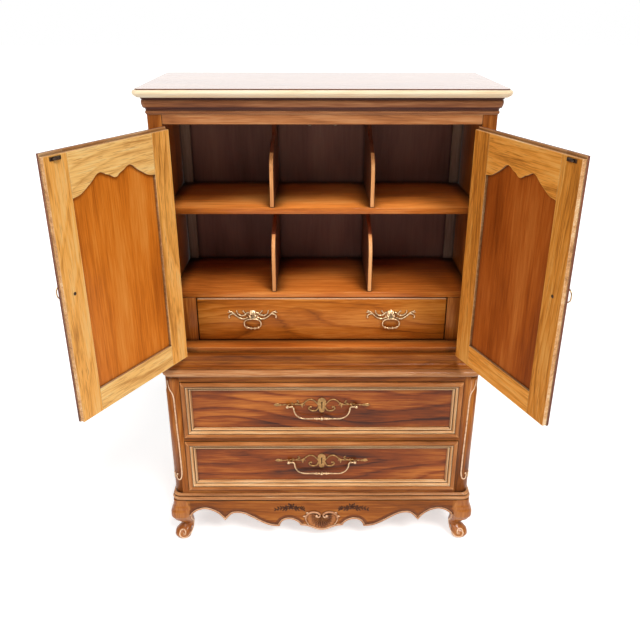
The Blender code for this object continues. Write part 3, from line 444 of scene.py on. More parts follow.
def through(knots, steps):
    """A smooth line through knots. A knot with a last entry of None is a sharp corner."""
    runs = [[]]
    for knot in knots:
        point = Vector([value for value in knot if value is not None])
        runs[-1].append(point)
        if knot[-1] is None and len(runs[-1]) > 1:
            runs.append([point])
    line = []
    for run in runs:
        if len(run) < 2:
            continue
        ends = [2 * run[0] - run[1]] + run + [2 * run[-1] - run[-2]]
        for before, first, second, after in zip(ends, ends[1:], ends[2:], ends[3:]):
            for step in range(steps):
                t = step / steps
                line.append(0.5 * (2 * first + (second - before) * t
                                   + (2 * before - 5 * first + 4 * second - after) * t ** 2
                                   + (3 * first - before - 3 * second + after) * t ** 3))
        last = run[-1]
    line.append(last)
    return line


def sweep(shape, path, width, height=None, sides=8, normal=FRONT, closed=False):
    """A rod along a path; width and height are half sizes, for all its points or one for each."""
    count = len(path)
    widths, heights, normals = (value if isinstance(value, list) else [value] * count
                                for value in (width, width if height is None else height, normal))
    rings = []
    for index, point in enumerate(path):
        before = path[index - 1] if index or closed else point
        after = path[(index + 1) % count] if index < count - 1 or closed else point
        tangent = (after - before).normalized()
        side = tangent.cross(normals[index]).normalized()
        up = side.cross(tangent).normalized() * heights[index]
        side = side * widths[index]
        ring = []
        for step in range(sides):
            angle = 2 * math.pi * step / sides
            ring.append(point + side * math.cos(angle) + up * math.sin(angle))
        rings.append(ring)
    if closed:
        rings.append(rings[0])
        loft(shape, rings)
        bmesh.ops.remove_doubles(shape, verts=shape.verts, dist=0.000001)
    else:
        loft(shape, rings, capped=True)


def taper(count, thick, thin_start, thin_end):
    """A half size for each of count points, thick in the middle and thinner at the ends."""
    sizes = []
    for index in range(count):
        t = index / (count - 1)
        start = min(1, thin_start + (1 - thin_start) * t / 0.25)
        end = min(1, thin_end + (1 - thin_end) * (1 - t) / 0.35)
        sizes.append(thick * min(start, end))
    return sizes


def ball(shape, centre, radius, segments=12):
    bmesh.ops.create_uvsphere(shape, u_segments=segments, v_segments=segments // 2 + 2, radius=radius,
                              matrix=Matrix.Translation(centre))


def wall(points, y):
    """Points of a flat drawing (x, z) set on the plane at y."""
    return [Vector((x, y, z)) for x, z in points]


def solid(rings):
    """A new shape: a loft through rings, closed at both ends."""
    shape = bmesh.new()
    loft(shape, rings, capped=True)
    return shape


def prism(outline, levels):
    """A new shape: a flat drawing (x, z) drawn out along y, through each level in turn."""
    return solid([wall(outline, y) for y in levels])


def drawn(centre, sign, points):
    """Points (x, z) in millimetres from a centre, mirrored left to right where sign is -1."""
    return [centre + Vector((sign * x, 0, z)) / 1000 for x, z in points]


def scroll(shape, centre, sign, knots, size, thin, bead):
    """A cast or carved scroll, given in millimetres: a rod along knots that thins to a bead at its tip."""
    path = drawn(centre, sign, through(knots, 5))
    sweep(shape, path, taper(len(path), size * 0.0013, 1, thin))
    if bead:
        ball(shape, path[-1], bead / 1000)


def petal(shape, centre, sign, root, angle, length, width, rise):
    """A leaf or petal, given in millimetres: it lies on the wall and runs from its root at an angle."""
    along = Vector((sign * math.cos(math.radians(angle)), 0, math.sin(math.radians(angle))))
    start, = drawn(centre, sign, [root])
    path = [start + along * length * t / 1000 for t in (0, 0.2, 0.5, 0.8, 1)]
    sweep(shape, path, [width * share / 1000 for share in (0.3, 0.8, 1, 0.6, 0.1)],
          [rise * share / 1000 for share in (0.4, 0.9, 1, 0.7, 0.2)])


def fan(shape, spot, rows, ribs, parts, first, last):
    """A fluted fan; spot gives each point from its reach, its angle and its height on the rib, 0 to 1."""
    rings = []
    for row in range(rows + 1):
        ring = []
        for step in range(ribs * parts + 1):
            turn = step / (ribs * parts)
            angle = math.radians(first + (last - first) * turn)
            ring.append(spot(row / rows, angle, abs(math.sin(math.pi * ribs * turn))))
        rings.append(ring)
    loft(shape, rings, closed=False)


def signed_power(value, power):
    """A power of the value's size, with the value's sign: it squares or rounds off a circle."""
    return math.copysign(abs(value) ** power, value)


# Mouldings that run round the front and both sides
def plan_line(half, front, back, radius, reach, steps=8):
    """The plan of a moulding that stands out by reach: back left, round both front corners, back right."""
    turn = max(radius + reach, 0.0002)
    right = arc((half - radius, front + radius), (turn, turn), -90, 0, steps)
    return [(-half - reach, back)] + flipped(right, -1)[::-1] + right + [(half + reach, back)]


def moulded_board(node, material, profile, radius):
    """A board whose edge follows a profile of (reach in millimetres from the solid's edge, height share)."""
    bottom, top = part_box(node)
    rings = []
    for reach, share in profile:
        z = bottom.z + share * (top.z - bottom.z)
        rings.append([Vector((x, y, z)) for x, y in plan_line(top.x, bottom.y, top.y, radius, reach / 1000)])
    return settle(f"{node}_finish", solid(rings), material, node, replaces=True, smooth=30)


def moulding_round(name, node, material, profile, back, replaces=False):
    """A moulding with a closed profile of (reach, z) that runs round the upper case."""
    half = high("upper_stile_right").x
    plans = [plan_line(half, 0, back, 0.004, reach) for reach, z in profile]
    rings = [[Vector((x, y, z)) for (x, y), (reach, z) in zip(station, profile)] for station in zip(*plans)]
    return settle(name, solid(rings), material, node, replaces=replaces, smooth=30)


def make_top():
    """The top board: a quirk behind a full round nose that turns under."""
    nose = [(-16, 0), (-10.5, 0), (-9.5, 0.07), (-5, 0.16), (-1.8, 0.32), (0, 0.52), (-0.8, 0.68),
            (-3.4, 0.8), (-6.8, 0.865), (-9, 0.875), (-9.2, 1), (-16, 1)]
    piece = moulded_board("top_board", [TOP_WOOD, NOSE_HIGHLIT, DOOR_LIP_SHADE], nose, 0.026)
    bottom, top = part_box("top_board")
    fillet = bottom.z + 0.88 * (top.z - bottom.z)

    def finish(face):
        # The top face keeps the top wood. The quirk behind the nose takes the dark lip wood, which is painted
        # shade in the groove, and the nose takes the near-white edge wood, which is painted highlight
        if face.normal.z > 0.9 and face.center.z > top.z - 0.0005:
            return 0
        return 2 if face.center.z > fillet else 1

    paint(piece, finish)


def make_cornice():
    """A crown moulding: fascia, ovolo, fillet and cove."""
    bottom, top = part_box("cornice")
    reach = top.x - high("upper_stile_right").x
    rise = top.z - bottom.z
    shares = [(1, 0), (1, 0.1), (0.8, 0.11), (0.78, 0.16), (0.88, 0.2), (0.93, 0.28), (0.92, 0.38),
              (0.84, 0.48), (0.72, 0.55), (0.7, 0.6), (0.6, 0.605), (0.3, 0.64), (0.18, 0.7),
              (0.16, 0.78), (0.3, 0.82), (0.32, 0.9), (0.24, 0.95), (0.1, 1)]
    profile = [(reach * share, top.z - drop * rise) for share, drop in shares]
    profile = [(PROUD, top.z), *profile, (PROUD, bottom.z)]
    piece = moulding_round("cornice_finish", "cornice", [CORNICE_X, CORNICE_SHADE], profile, top.y, True)

    def finish(face):
        # Painted shade: the fascia under the top's nose and the cove take the dark groove wood
        drop = (top.z - face.center.z) / rise
        return 1 if drop < 0.17 or 0.57 < drop < 0.8 else 0

    paint(piece, finish)


def make_waist():
    """The lower case's moulded top, with the cove and the sill under the doors."""
    bottom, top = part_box("waist_board")
    board_top = low("upper_stile_right").z - 0.0003
    share = (board_top - bottom.z) / (top.z - bottom.z)
    nose = [(-14, 0), (-9.5, 0), (-8.8, 0.1), (-4, 0.16), (-0.8, 0.34), (0, 0.55), (-1.2, 0.74),
            (-4.5, 0.9), (-9, 0.99), (-14, 1)]
    moulded_board("waist_board", MOULD_ROUND, [(reach, height * share) for reach, height in nose], 0.03)
    cove_top = board_top + 0.021
    cove = [(PROUD, board_top + PROUD), (0.022, board_top + PROUD), (0.0215, board_top + 0.003)]
    cove += arc((0.0195, cove_top + 0.0005), (-0.0155, -0.015), 88, 8, 7)
    cove += [(0.003, cove_top), (PROUD, cove_top)]
    moulding_round("waist_cove", "waist_board", CASE_ROUND, cove, top.y - 0.012)
    half = high("top_rail").x
    sill = prism(block(-half, half, board_top, top.z), (-0.002, 0.022))
    bevel(settle("waist_sill", sill, CASE_X, "waist_board"), 0.0015)


def make_base_board():
    """A bead on top, a groove, and a wider rounded band under it."""
    edge = [(-16, 0), (-9.5, 0), (-4.5, 0.05), (-1.2, 0.15), (0, 0.3), (-0.6, 0.44), (-2.8, 0.54),
            (-6.2, 0.585), (-8, 0.61), (-7, 0.65), (-5.2, 0.7), (-4.4, 0.78), (-5, 0.87), (-7.5, 0.95),
            (-10.5, 0.985), (-12.5, 1), (-16, 1)]
    moulded_board("base_board", MOULD_ROUND, edge, 0.03)


# Doors, drawn shut in the hinge line's own frame and set open. Their s runs from hinge side to free side.
DOOR_ANGLE = {"left": -119, "right": 111}
HINGE_X = 0.4449
HINGE_Y = -0.0045
CATCH_S = 0.408
BOLT_S = 0.4084
BOLT_RISE = 0.361
DOOR_FACE = 0.0045
DOOR_INSIDE = 0.0235
DOOR_NEAR = 0.0011
DOOR_FAR = 0.4434
DOOR_MIDDLE = (DOOR_NEAR + DOOR_FAR) / 2
DOOR_LOW = low("door_frame_left").z
DOOR_HIGH = high("door_frame_left").z
STILE = 0.072
REBATE = 0.0075
REBATE_SIDE = 0.0018
INNER_NEAR = DOOR_NEAR + STILE
INNER_FAR = DOOR_FAR - STILE
RAIL_TOP = DOOR_LOW + 0.069


def door_arch():
    """The scalloped edge of the upper rail, from its hinge side to its free side, as (s, z)."""
    half = 1000 * (DOOR_MIDDLE - INNER_NEAR)
    knots = [(0, -96), (6, -94.8), (18, -87.5), (32, -82.5), (43, -76.2), (54, -74), (66, -78), (82, -90.5),
             (102, -103), (124, -114.5), (half, -119)]
    return [(DOOR_MIDDLE + x, DOOR_HIGH + z) for x, z in doubled(mm(through(knots, 8)))]


def make_door(side, sign):
    turn = Matrix.Rotation(math.radians(DOOR_ANGLE[side]), 4, "Z")
    matrix = Matrix.Translation((sign * HINGE_X, HINGE_Y, 0)) @ turn
    make_door_frame(side, sign, matrix)
    make_door_panel(side, sign, matrix)
    make_door_bead(side, sign, matrix)
    for name in (f"door_pull_plate_{side}", f"door_ring_{side}"):
        copied(name, BRASS, "antique_brass", 0.0004, matrix)
    make_catch(side, sign, matrix)
    make_bolt(side, sign, matrix)


def make_door_frame(side, sign, matrix):
    """Two stiles and two rails, each with a lip in front that the part behind it steps back from."""
    members = {
        "hinge_stile": block(DOOR_NEAR, INNER_NEAR, DOOR_LOW, DOOR_HIGH),
        "free_stile": block(INNER_FAR, DOOR_FAR, DOOR_LOW, DOOR_HIGH),
        "lower_rail": block(INNER_NEAR, INNER_FAR, DOOR_LOW, RAIL_TOP),
        "upper_rail": [(INNER_NEAR, DOOR_HIGH), (INNER_FAR, DOOR_HIGH)] + door_arch()[::-1],
    }
    lip = DOOR_FACE + 0.007
    for name, outline in members.items():
        kind = name.split("_")[1]
        outside = CASE_Z if kind == "stile" else CASE_X
        stepped = []
        for s, z in outline:
            s = min(max(s, DOOR_NEAR + REBATE_SIDE), DOOR_FAR - REBATE_SIDE)
            stepped.append((s, min(max(z, DOOR_LOW + REBATE_SIDE), DOOR_HIGH - REBATE)))
        for layer, drawing, levels, finishes in (
                ("face", outline, (DOOR_FACE, lip), [outside, DOOR_LIP_SHADE, DOOR_EDGE_X]),
                ("back", stepped, (lip, DOOR_INSIDE), [outside, DOOR_EDGE_X, DOOR_WOODS[side, kind]])):
            piece = settle(f"door_{name}_{layer}_{side}", prism(flipped(drawing, -sign), levels), finishes,
                           f"door_frame_{side}", "door_frame_wood", True, matrix)
            # Painted shade: the edges of the face layer take the dark lip wood. The back layer's edges take
            # the pale edge wood
            paint(piece, lambda face: 2 if face.normal.y > 0.5 else 0 if face.normal.y < -0.5 else 1)
            bevel(piece, 0.0008, 2)


def make_door_panel(side, sign, matrix):
    """A thin panel held in the groove of its frame, with a low raised field on the inside."""
    node = f"door_panel_{side}"
    front, inside = DOOR_FACE + 0.004, DOOR_FACE + 0.012
    rings = []
    for grow, y in ((0.003, front), (0.003, inside - 0.0012), (-0.006, inside), (-0.03, inside + 0.0003)):
        edge = block(INNER_NEAR - grow, INNER_FAR + grow, RAIL_TOP - grow, DOOR_HIGH - 0.066 + grow)
        rings.append(wall(flipped(edge, -sign), y))
    piece = settle(f"{node}_finish", solid(rings), [PANELS[side], PANELS["outer"]], node, "door_panel_wood",
                   True, matrix, 20)
    paint(piece, lambda face: 1 if face.center.y < front + 0.0001 else 0)


def make_door_bead(side, sign, matrix):
    """The bead that holds the panel on the outside."""
    path = []
    for s, z in [(INNER_NEAR, RAIL_TOP), *door_arch(), (INNER_FAR, RAIL_TOP)]:
        inset = 0.0022 if s < DOOR_MIDDLE else -0.0022
        path.append(Vector((-sign * (s + inset), DOOR_FACE + 0.0032, z)))
    shape = bmesh.new()
    sweep(shape, path, 0.0028, 0.0026, closed=True)
    settle(f"door_bead_{side}", shape, MOULD_Z, f"door_frame_{side}", matrix=matrix)


def make_catch(side, sign, matrix):
    """A dark spring catch on the inside of a door, near the top of its free edge."""
    z = DOOR_HIGH - 0.0155
    plate = block(CATCH_S - 0.018, CATCH_S + 0.016, z - 0.0045, z + 0.0045)
    shape = prism(flipped(plate, -sign), (DOOR_INSIDE - 0.0004, DOOR_INSIDE + 0.0018))
    path = [Vector((-sign * (CATCH_S + s / 1000), DOOR_INSIDE + 0.0035, z)) for s in (-12, -10, 2, 6, 10)]
    sweep(shape, path, [0.002, 0.0042, 0.0042, 0.003, 0.0012], sides=12, normal=-FRONT)
    bevel(settle(f"door_catch_{side}", shape, DARK_METAL, f"door_frame_{side}", "antique_brass",
                 matrix=matrix), 0.0006, 2)


def make_bolt(side, sign, matrix):
    """The turned head of the bolt that holds the ring pull."""
    centre = (-sign * BOLT_S, DOOR_LOW + BOLT_RISE)
    rings = []
    for radius, rise in mm([(4.5, -0.4), (4.5, 0.6), (3.8, 1.4), (2.2, 1.9), (0.6, 2)]):
        rings.append(wall(arc(centre, (radius, radius), 0, 330, 11), DOOR_INSIDE + rise))
    settle(f"door_bolt_{side}", solid(rings), DARK_METAL, f"door_frame_{side}", "antique_brass",
           matrix=matrix)


# Lower drawers. The stick's profile is (inset, rise) in millimetres from its outer edge.
STICK_PROFILE = [
    (0, 0), (0, 15), (1.2, 17.2), (4, 19), (7, 19.7), (10, 19.2), (12.4, 17.8), (13.6, 15.8), (14, 13.8),
    (16, 13.8), (16.6, 15.2), (19, 14.2), (21.6, 11.4), (23.4, 8.4), (24, 6.6), (25.4, 6.6), (26, 8.8),
    (27.8, 9.6), (29.4, 8.2), (30.4, 4), (32, 0.4)]
STICK_RIM = 0.0132
FRONT_THICK = 0.01


def make_drawer_front(level):
    """Four mitred sticks round a veneered panel."""
    node = f"drawer_front_{level}"
    bottom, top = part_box(node)
    front = top.y - FRONT_THICK
    profile = [(inset, front - rise) for inset, rise in mm(STICK_PROFILE)]
    width = profile[-1][0]
    profile += [(width, top.y), (0, top.y)]

    def finish(face):
        x, y, z = face.center
        return 1 if min(x - bottom.x, top.x - x, z - bottom.z, top.z - z) < STICK_RIM else 0

    corners = [Vector(corner) for corner in block(bottom.x, top.x, bottom.z, top.z)]
    for name, start, end in zip(("lower", "right", "upper", "left"), corners, corners[1:] + corners[:1]):
        along = (end - start).normalized()
        inward = Vector((-along.y, along.x))
        rings = []
        for corner, way in ((start, 1), (end, -1)):
            ring = []
            for inset, y in profile:
                spot = corner + (along * way + inward) * inset
                ring.append(Vector((spot.x, y, spot.y)))
            rings.append(ring)
        finishes = [MOULD_X, RIM_X] if along.x else [MOULD_Z, RIM_Z]
        paint(settle(f"{node}_{name}_stick", solid(rings), finishes, node, "drawer_front_wood", True,
                     smooth=30), finish)
    inset = width - 0.002
    field = block(bottom.x + inset, top.x - inset, bottom.z + inset, top.z - inset)
    settle(f"{node}_veneer", prism(field, (front, front + 0.008)), VENEER, node, "drawer_front_wood", True)


def make_case():
    """Boards and hinges that keep their solid's shape."""
    for material, slot, width, nodes in (
            (RAIL_X, "fruitwood", 0.0012, "top_rail"),
            (CASE_Z, "fruitwood", 0.0012, "upper_stile_left upper_stile_right"),
            (CASE_SIDE, "fruitwood", 0.0008, "upper_side_left upper_side_right"),
            (CASE_SIDE, "fruitwood", 0.0008, "lower_side_left lower_side_right"),
            (CASE_SIDE, "fruitwood", 0.0008, "side_skirt_left side_skirt_right"),
            (CASE_X, "fruitwood", 0.0008, "dust_panel_bottom dust_panel_middle dust_panel_top"),
            (CASE_Z, "fruitwood", 0, "drawer_filler_left drawer_filler_right"),
            (BACK_BOARD, "back_panel_wood", 0, "upper_back lower_back"),
            (SHELF_X, "shelf_wood", 0, "shelf_lower upper_floor"),
            (BRASS, "antique_brass", 0, "hinge_left_upper hinge_right_upper"),
            (BRASS, "antique_brass", 0, "hinge_left_lower hinge_right_lower")):
        for node in nodes.split():
            copied(node, material, slot, width)
    # The upper shelf's top takes the paler copy, which is painted light, and its front edge takes the plain
    # shelf wood
    shelf = copied("shelf_upper", [SHELF_LIT, SHELF_X], "shelf_wood")
    paint(shelf, lambda face: 1 if face.normal.y < -0.5 else 0)
    # Faces that look up take the pale edge wood: painted highlight, partly wear
    for node, material, slot in (("inner_drawer_front", INNER_FRONT, "drawer_front_wood"),
                                 ("inner_divider_left", BOX_SIDE, "drawer_box_wood"),
                                 ("inner_divider_right", BOX_SIDE, "drawer_box_wood")):
        paint(copied(node, [material, FRONT_EDGE_HIGHLIGHT], slot), lambda face: 1 if face.normal.z > 0.6 else 0)
    # Each face takes the lining wood of the axis it faces: its grain, and partly painted light and shade
    for node in ("inner_drawer_box", "drawer_box_middle", "drawer_box_bottom"):
        piece = copied(node, [BOX_SIDE, BOX_BACK, BOX_FLOOR], "drawer_box_wood")
        paint(piece, lambda face: max(range(3), key=lambda axis: abs(face.normal[axis])))


# Shelf dividers, cleats and small hardware inside
NOSE_HEIGHT = {"upper": 0.172, "lower": 0.192}


def make_divider(level, side):
    """An upright board whose front edge rounds over a nose and sweeps up and back."""
    node = f"divider_{level}_{side}"
    bottom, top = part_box(node)
    rise = bottom.z + NOSE_HEIGHT[level]
    knots = [(0, 1000 * (bottom.z - rise)), (0, -78), (6, -51), (22, -29), (55, -10), (125, 10), (195, 34),
             (235, 1000 * (top.z - rise))]
    outline = [(bottom.y + y, rise + z) for y, z in mm(through(knots, 4))]
    outline += [(top.y, top.z), (top.y, bottom.z)]
    board = solid([[Vector((x, y, z)) for y, z in outline] for x in (bottom.x, top.x)])
    finishes = [DIVIDER_SIDE_SHADE, DIVIDER_EDGE_LIT, DIVIDER_TOP_SHADE]
    piece = settle(f"{node}_finish", board, finishes, node, "shelf_wood", True)

    def finish(face):
        # Painted light and shade: below the sweep the nose takes the pale edge wood, and above it the dark
        # wood
        if len(face.vertices) > 4:
            return 0
        return 1 if face.center.z < rise - 0.016 else 2

    paint(piece, finish)
    bevel(piece, 0.0035, 4)


def make_cleats():
    """Pale strips that hold the back panel, upright in each back corner."""
    back = low("upper_back").y - PROUD
    spans = {
        "upper": (high("shelf_upper").z + PROUD, high("upper_back").z - 0.001),
        "lower": (high("shelf_lower").z + PROUD, low("shelf_upper").z - PROUD),
    }
    for level, (foot, head) in spans.items():
        for side, sign in SIDES.items():
            strip = prism(flipped(block(0.441, 0.4725, foot, head), sign), (back - 0.014, back))
            bevel(settle(f"cleat_{level}_{side}", strip, CLEAT, "upper_back", "back_panel_wood"), 0.0012, 2)


def make_strikes():
    """Two small clips on the back of the top rail, one for each door's catch, with a tongue below it."""
    z, back = low("top_rail").z, high("top_rail").y
    tongue = mm([(0, 1, 4), (0, 1, -3), (0, 1.48, -5.5), (0, 2.28, -7.2), (0, 3.08, -7.6)])
    for side, sign in SIDES.items():
        x = sign * 0.036
        shape = prism(block(x - 0.007, x + 0.007, z + 0.001, z + 0.015), (back + 0.0001, back + 0.0014))
        sweep(shape, [Vector((x, back, z)) + point for point in tongue], 0.0048, 0.0008, 12)
        settle(f"door_strike_{side}", shape, DARK_METAL, "top_rail", "antique_brass")


# Corner posts
POST_RADIUS = 0.028
POST_FLAT = 0.0205


def make_post(side, sign):
    """A corner post with a bead that turns over at both ends, on its front and again on its side."""
    node = f"corner_post_{side}"
    copied(node, CASE_Z)
    bottom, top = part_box(node)
    inner = max(abs(bottom.x), abs(top.x)) - POST_RADIUS - POST_FLAT

    def on_post(s, z):
        """The place and the outward direction at a distance s round the post from its inner front edge."""
        turn = min(max((s - POST_FLAT) / POST_RADIUS, 0), math.pi / 2)
        side_run = max(s - POST_FLAT - POST_RADIUS * math.pi / 2, 0)
        x = inner + min(s, POST_FLAT) + POST_RADIUS * math.sin(turn)
        y = bottom.y + POST_RADIUS * (1 - math.cos(turn)) + side_run
        return Vector((sign * x, y, z)), Vector((sign * math.sin(turn), -math.cos(turn), 0))

    upper = mm([(40, -18), (38.5, -34), (34, -50), (26.5, -62), (22.5, -78), (21.5, -105), (20.5, -200)])
    lower = mm([(19, 200), (18, 105), (18.8, 78), (23.5, 60), (31.5, 55), (37.5, 62), (38.2, 72), (34.5, 78)])
    line = through([(s, top.z + z) for s, z in upper] + [(s, bottom.z + z) for s, z in lower], 5)
    around = 2 * POST_FLAT + POST_RADIUS * math.pi / 2
    for face, path in (("front", line), ("side", [(around - s, z) for s, z in line])):
        spots, outs = map(list, zip(*[on_post(s, z) for s, z in path]))
        widths, heights = (taper(len(spots), size, 0.4, 0.9) for size in (0.0026, 0.0021))
        shape = bmesh.new()
        sweep(shape, spots, widths, heights, normal=outs)
        ball(shape, spots[-1], 0.0036, 10)
        settle(f"post_bead_{face}_{side}", shape, BEAD_WOOD, node, smooth=60)


# Apron: scalloped edge with a bead, a carved shell, and flower sprays
APRON_EDGE = [
    (0, 40), (18, 43), (40, 53), (58, 59, None), (75, 60.5, None), (80, 71), (92, 81), (104, 86.5), (116, 88),
    (128, 85.5), (138, 78), (145, 67), (147, 57, None), (163, 57.5), (185, 62), (210, 74), (235, 90),
    (255, 102.5), (270, 111), (286, 115.5), (300, 116), (312, 112.5), (322, 104), (332, 92), (340, 83, None),
    (348, 97), (362, 113), (382, 126), (405, 133), (420, 131), (434, 125), (447, 115), (456, 103)]
APRON_FACE = -0.0332
APRON_END = 0.472
SHELL_ROOT = 0.101


def offset_line(line, distance):
    """The line moved to its left side, without the points that come too near another stretch of it."""
    moved = []
    for before, point, after in zip([line[0]] + line, line, line[1:] + [line[-1]]):
        along = (after - before).normalized()
        spot = point + Vector((-along.y, along.x)) * distance
        if min((spot - other).length for other in line) > distance * 0.97:
            moved.append(spot)
    return moved


def runs_of(line, gap):
    """The line split where two neighbours are further apart than a gap."""
    runs = [[line[0]]]
    for before, point in zip(line, line[1:]):
        if (point - before).length > gap:
            runs.append([])
        runs[-1].append(point)
    return [run for run in runs if len(run) > 3]


def make_apron():
    """The board, the bead along its edge, and a low dark band of painted shade, standing for a cove, beside
    the bead on each side of the shell.
    """
    top = high("front_apron")
    whole = doubled(mm(through(APRON_EDGE, 5)))
    foot = whole[-1].y
    outline = whole + [(APRON_END, foot), (APRON_END, top.z), (-APRON_END, top.z), (-APRON_END, foot)]
    settle("apron_board", prism(outline, (APRON_FACE, top.y)), APRON_WOOD, "front_apron", replaces=True)
    for name, material, distance, width, height, start in (
            ("apron_bead", BEAD_WOOD, 0.0042, 0.0037, 0.0042, 0),
            ("apron_cove", COVE_SHADE, 0.013, 0.0048, 0.0012, 0.062)):
        line = [point for point in offset_line(whole, distance) if abs(point.x) >= start]
        shape = bmesh.new()
        for run in runs_of(line, 0.012):
            sweep(shape, wall(run, APRON_FACE), width, height)
        settle(name, shape, material, "front_apron", smooth=60)
    make_shell()
    make_shell_scrolls()
    for side, sign in SIDES.items():
        make_spray(side, sign)


def make_shell():
    """A fan of ribs that hangs from its root, closed behind."""
    def spot(reach, angle, groove):
        length = (0.0495 + 0.0125 * math.sin(angle) ** 2) * reach * (1 + 0.025 * reach * (groove - 0.5))
        swell = math.sin(math.pi * min(1, reach * 0.62 + 0.38))
        height = 0.0072 * swell * (0.4 + 0.6 * groove * min(1, reach * 2.5))
        return Vector((length * math.cos(angle), APRON_FACE - height, SHELL_ROOT + length * math.sin(angle)))

    shape = bmesh.new()
    fan(shape, spot, rows=9, ribs=15, parts=6, first=-200, last=20)
    bmesh.ops.remove_doubles(shape, verts=shape.verts, dist=0.00001)
    edges = [edge for edge in shape.edges if edge.is_boundary]
    for item in bmesh.ops.extrude_edge_only(shape, edges=edges)["geom"]:
        if isinstance(item, bmesh.types.BMVert):
            item.co.y = APRON_FACE + 0.002
    bmesh.ops.contextual_create(shape, geom=[edge for edge in shape.edges if edge.is_boundary])
    settle("apron_shell", shape, CARVED_WOOD, "front_apron", smooth=50)


def make_shell_scrolls():
    """Two scrolls that curl in over the shell, each with two leaves on its outer side."""
    knots = [(46, 66), (53.5, 80), (56, 95), (50, 109), (36, 118.5), (20, 119), (8.5, 112), (6, 103),
             (12.5, 98.5), (17.5, 103.5)]
    shape = bmesh.new()
    for sign in SIDES.values():
        path = drawn(Vector((0, APRON_FACE - 0.0018, 0)), sign, through(knots, 6))
        sizes = taper(len(path), 0.0036, 0.4, 0.8)
        sweep(shape, path, sizes, [size * 1.3 for size in sizes])
        ball(shape, path[-1] + FRONT * 0.001, 0.0052)
        for start, reach, lift in ((52, 13, 100), (44, 11, 114.5)):
            line = [(start + reach * t, lift + 6 * t * (1 - t)) for t in (0, 0.3, 0.6, 0.85, 1)]
            sweep(shape, drawn(Vector((0, APRON_FACE - 0.001, 0)), sign, line),
                  [0.001, 0.003, 0.0034, 0.002, 0.0006], [0.001, 0.002, 0.0022, 0.0014, 0.0004])
    settle("apron_scrolls", shape, BEAD_WOOD, "front_apron", smooth=60)


def make_spray(side, sign):
    """A carved spray: three five-petalled flowers and some buds between two sprigs of leaves."""
    shape = bmesh.new()
    ground = Vector((0, APRON_FACE + 0.0004, 0))
    for x, z, size in ((107, 140.5, 1), (88, 136, 0.68), (126, 136, 0.68)):
        for step in range(5):
            petal(shape, ground, sign, (x, z), 90 + 72 * step, 14 * size, 4.2 * size, 2.6)
        ball(shape, drawn(ground + FRONT * 0.0016, sign, [(x, z)])[0], 0.0034 * size)
    for way, tip in ((1, 159), (-1, 64)):
        stem = through([(107, 136.5), (107 + way * 18, 133.5), (107 + way * 34, 136.5), (tip, 130)], 5)
        sweep(shape, drawn(ground, sign, stem), 0.0014, sides=6)
        for step in range(5):
            for lean in (50, -50):
                angle = lean if way > 0 else 180 - lean
                petal(shape, ground, sign, stem[3 * step + 3], angle, 16 - 1.4 * step, 3, 2.2)
    for x, z, angle in ((100, 146, 110), (112, 148, 75), (94, 141, 150), (119, 142, 30)):
        petal(shape, ground, sign, (x, z), angle, 11, 3.4, 2.2)
    settle(f"apron_spray_{side}", shape, SPRAY_WOOD, "front_apron", smooth=60)


# Feet: height, outward shift and half size of each section in millimetres, and its squareness
FOOT_SHAPE = [
    (0, 8, 20, 2.2), (5, 9, 25.5, 2.2), (16, 10.5, 28.5, 2.2), (26, 9, 27.8, 2.2), (36, 3.5, 24, 2.2),
    (43, -4, 21.2, 2.2), (51, -8.5, 19.8, 2.2), (60, -6, 21.8, 2.2), (72, 0, 26.8, 2.4), (88, 6.5, 32.5, 2.6),
    (104, 10, 35.5, 2.8), (120, 8.5, 36.2, 3), (136, 4, 35.2, 3.3), (150, 1, 33.6, 3.7),
    (167.7, 0, 33, 4)]
FOOT_X = 0.484
FOOT_Y = -0.0003
FOOT_STEPS = 42
FOOT_SIDES = 40


def foot_section(z):
    """The shift, half size and squareness of the foot at a height in millimetres; lengths are metres."""
    for first, second in zip(FOOT_SHAPE, FOOT_SHAPE[1:]):
        if z <= second[0]:
            t = (z - first[0]) / (second[0] - first[0])
            shift, half, power = [a + (b - a) * t * t * (3 - 2 * t) for a, b in zip(first[1:], second[1:])]
            return shift / 1000, half / 1000, power


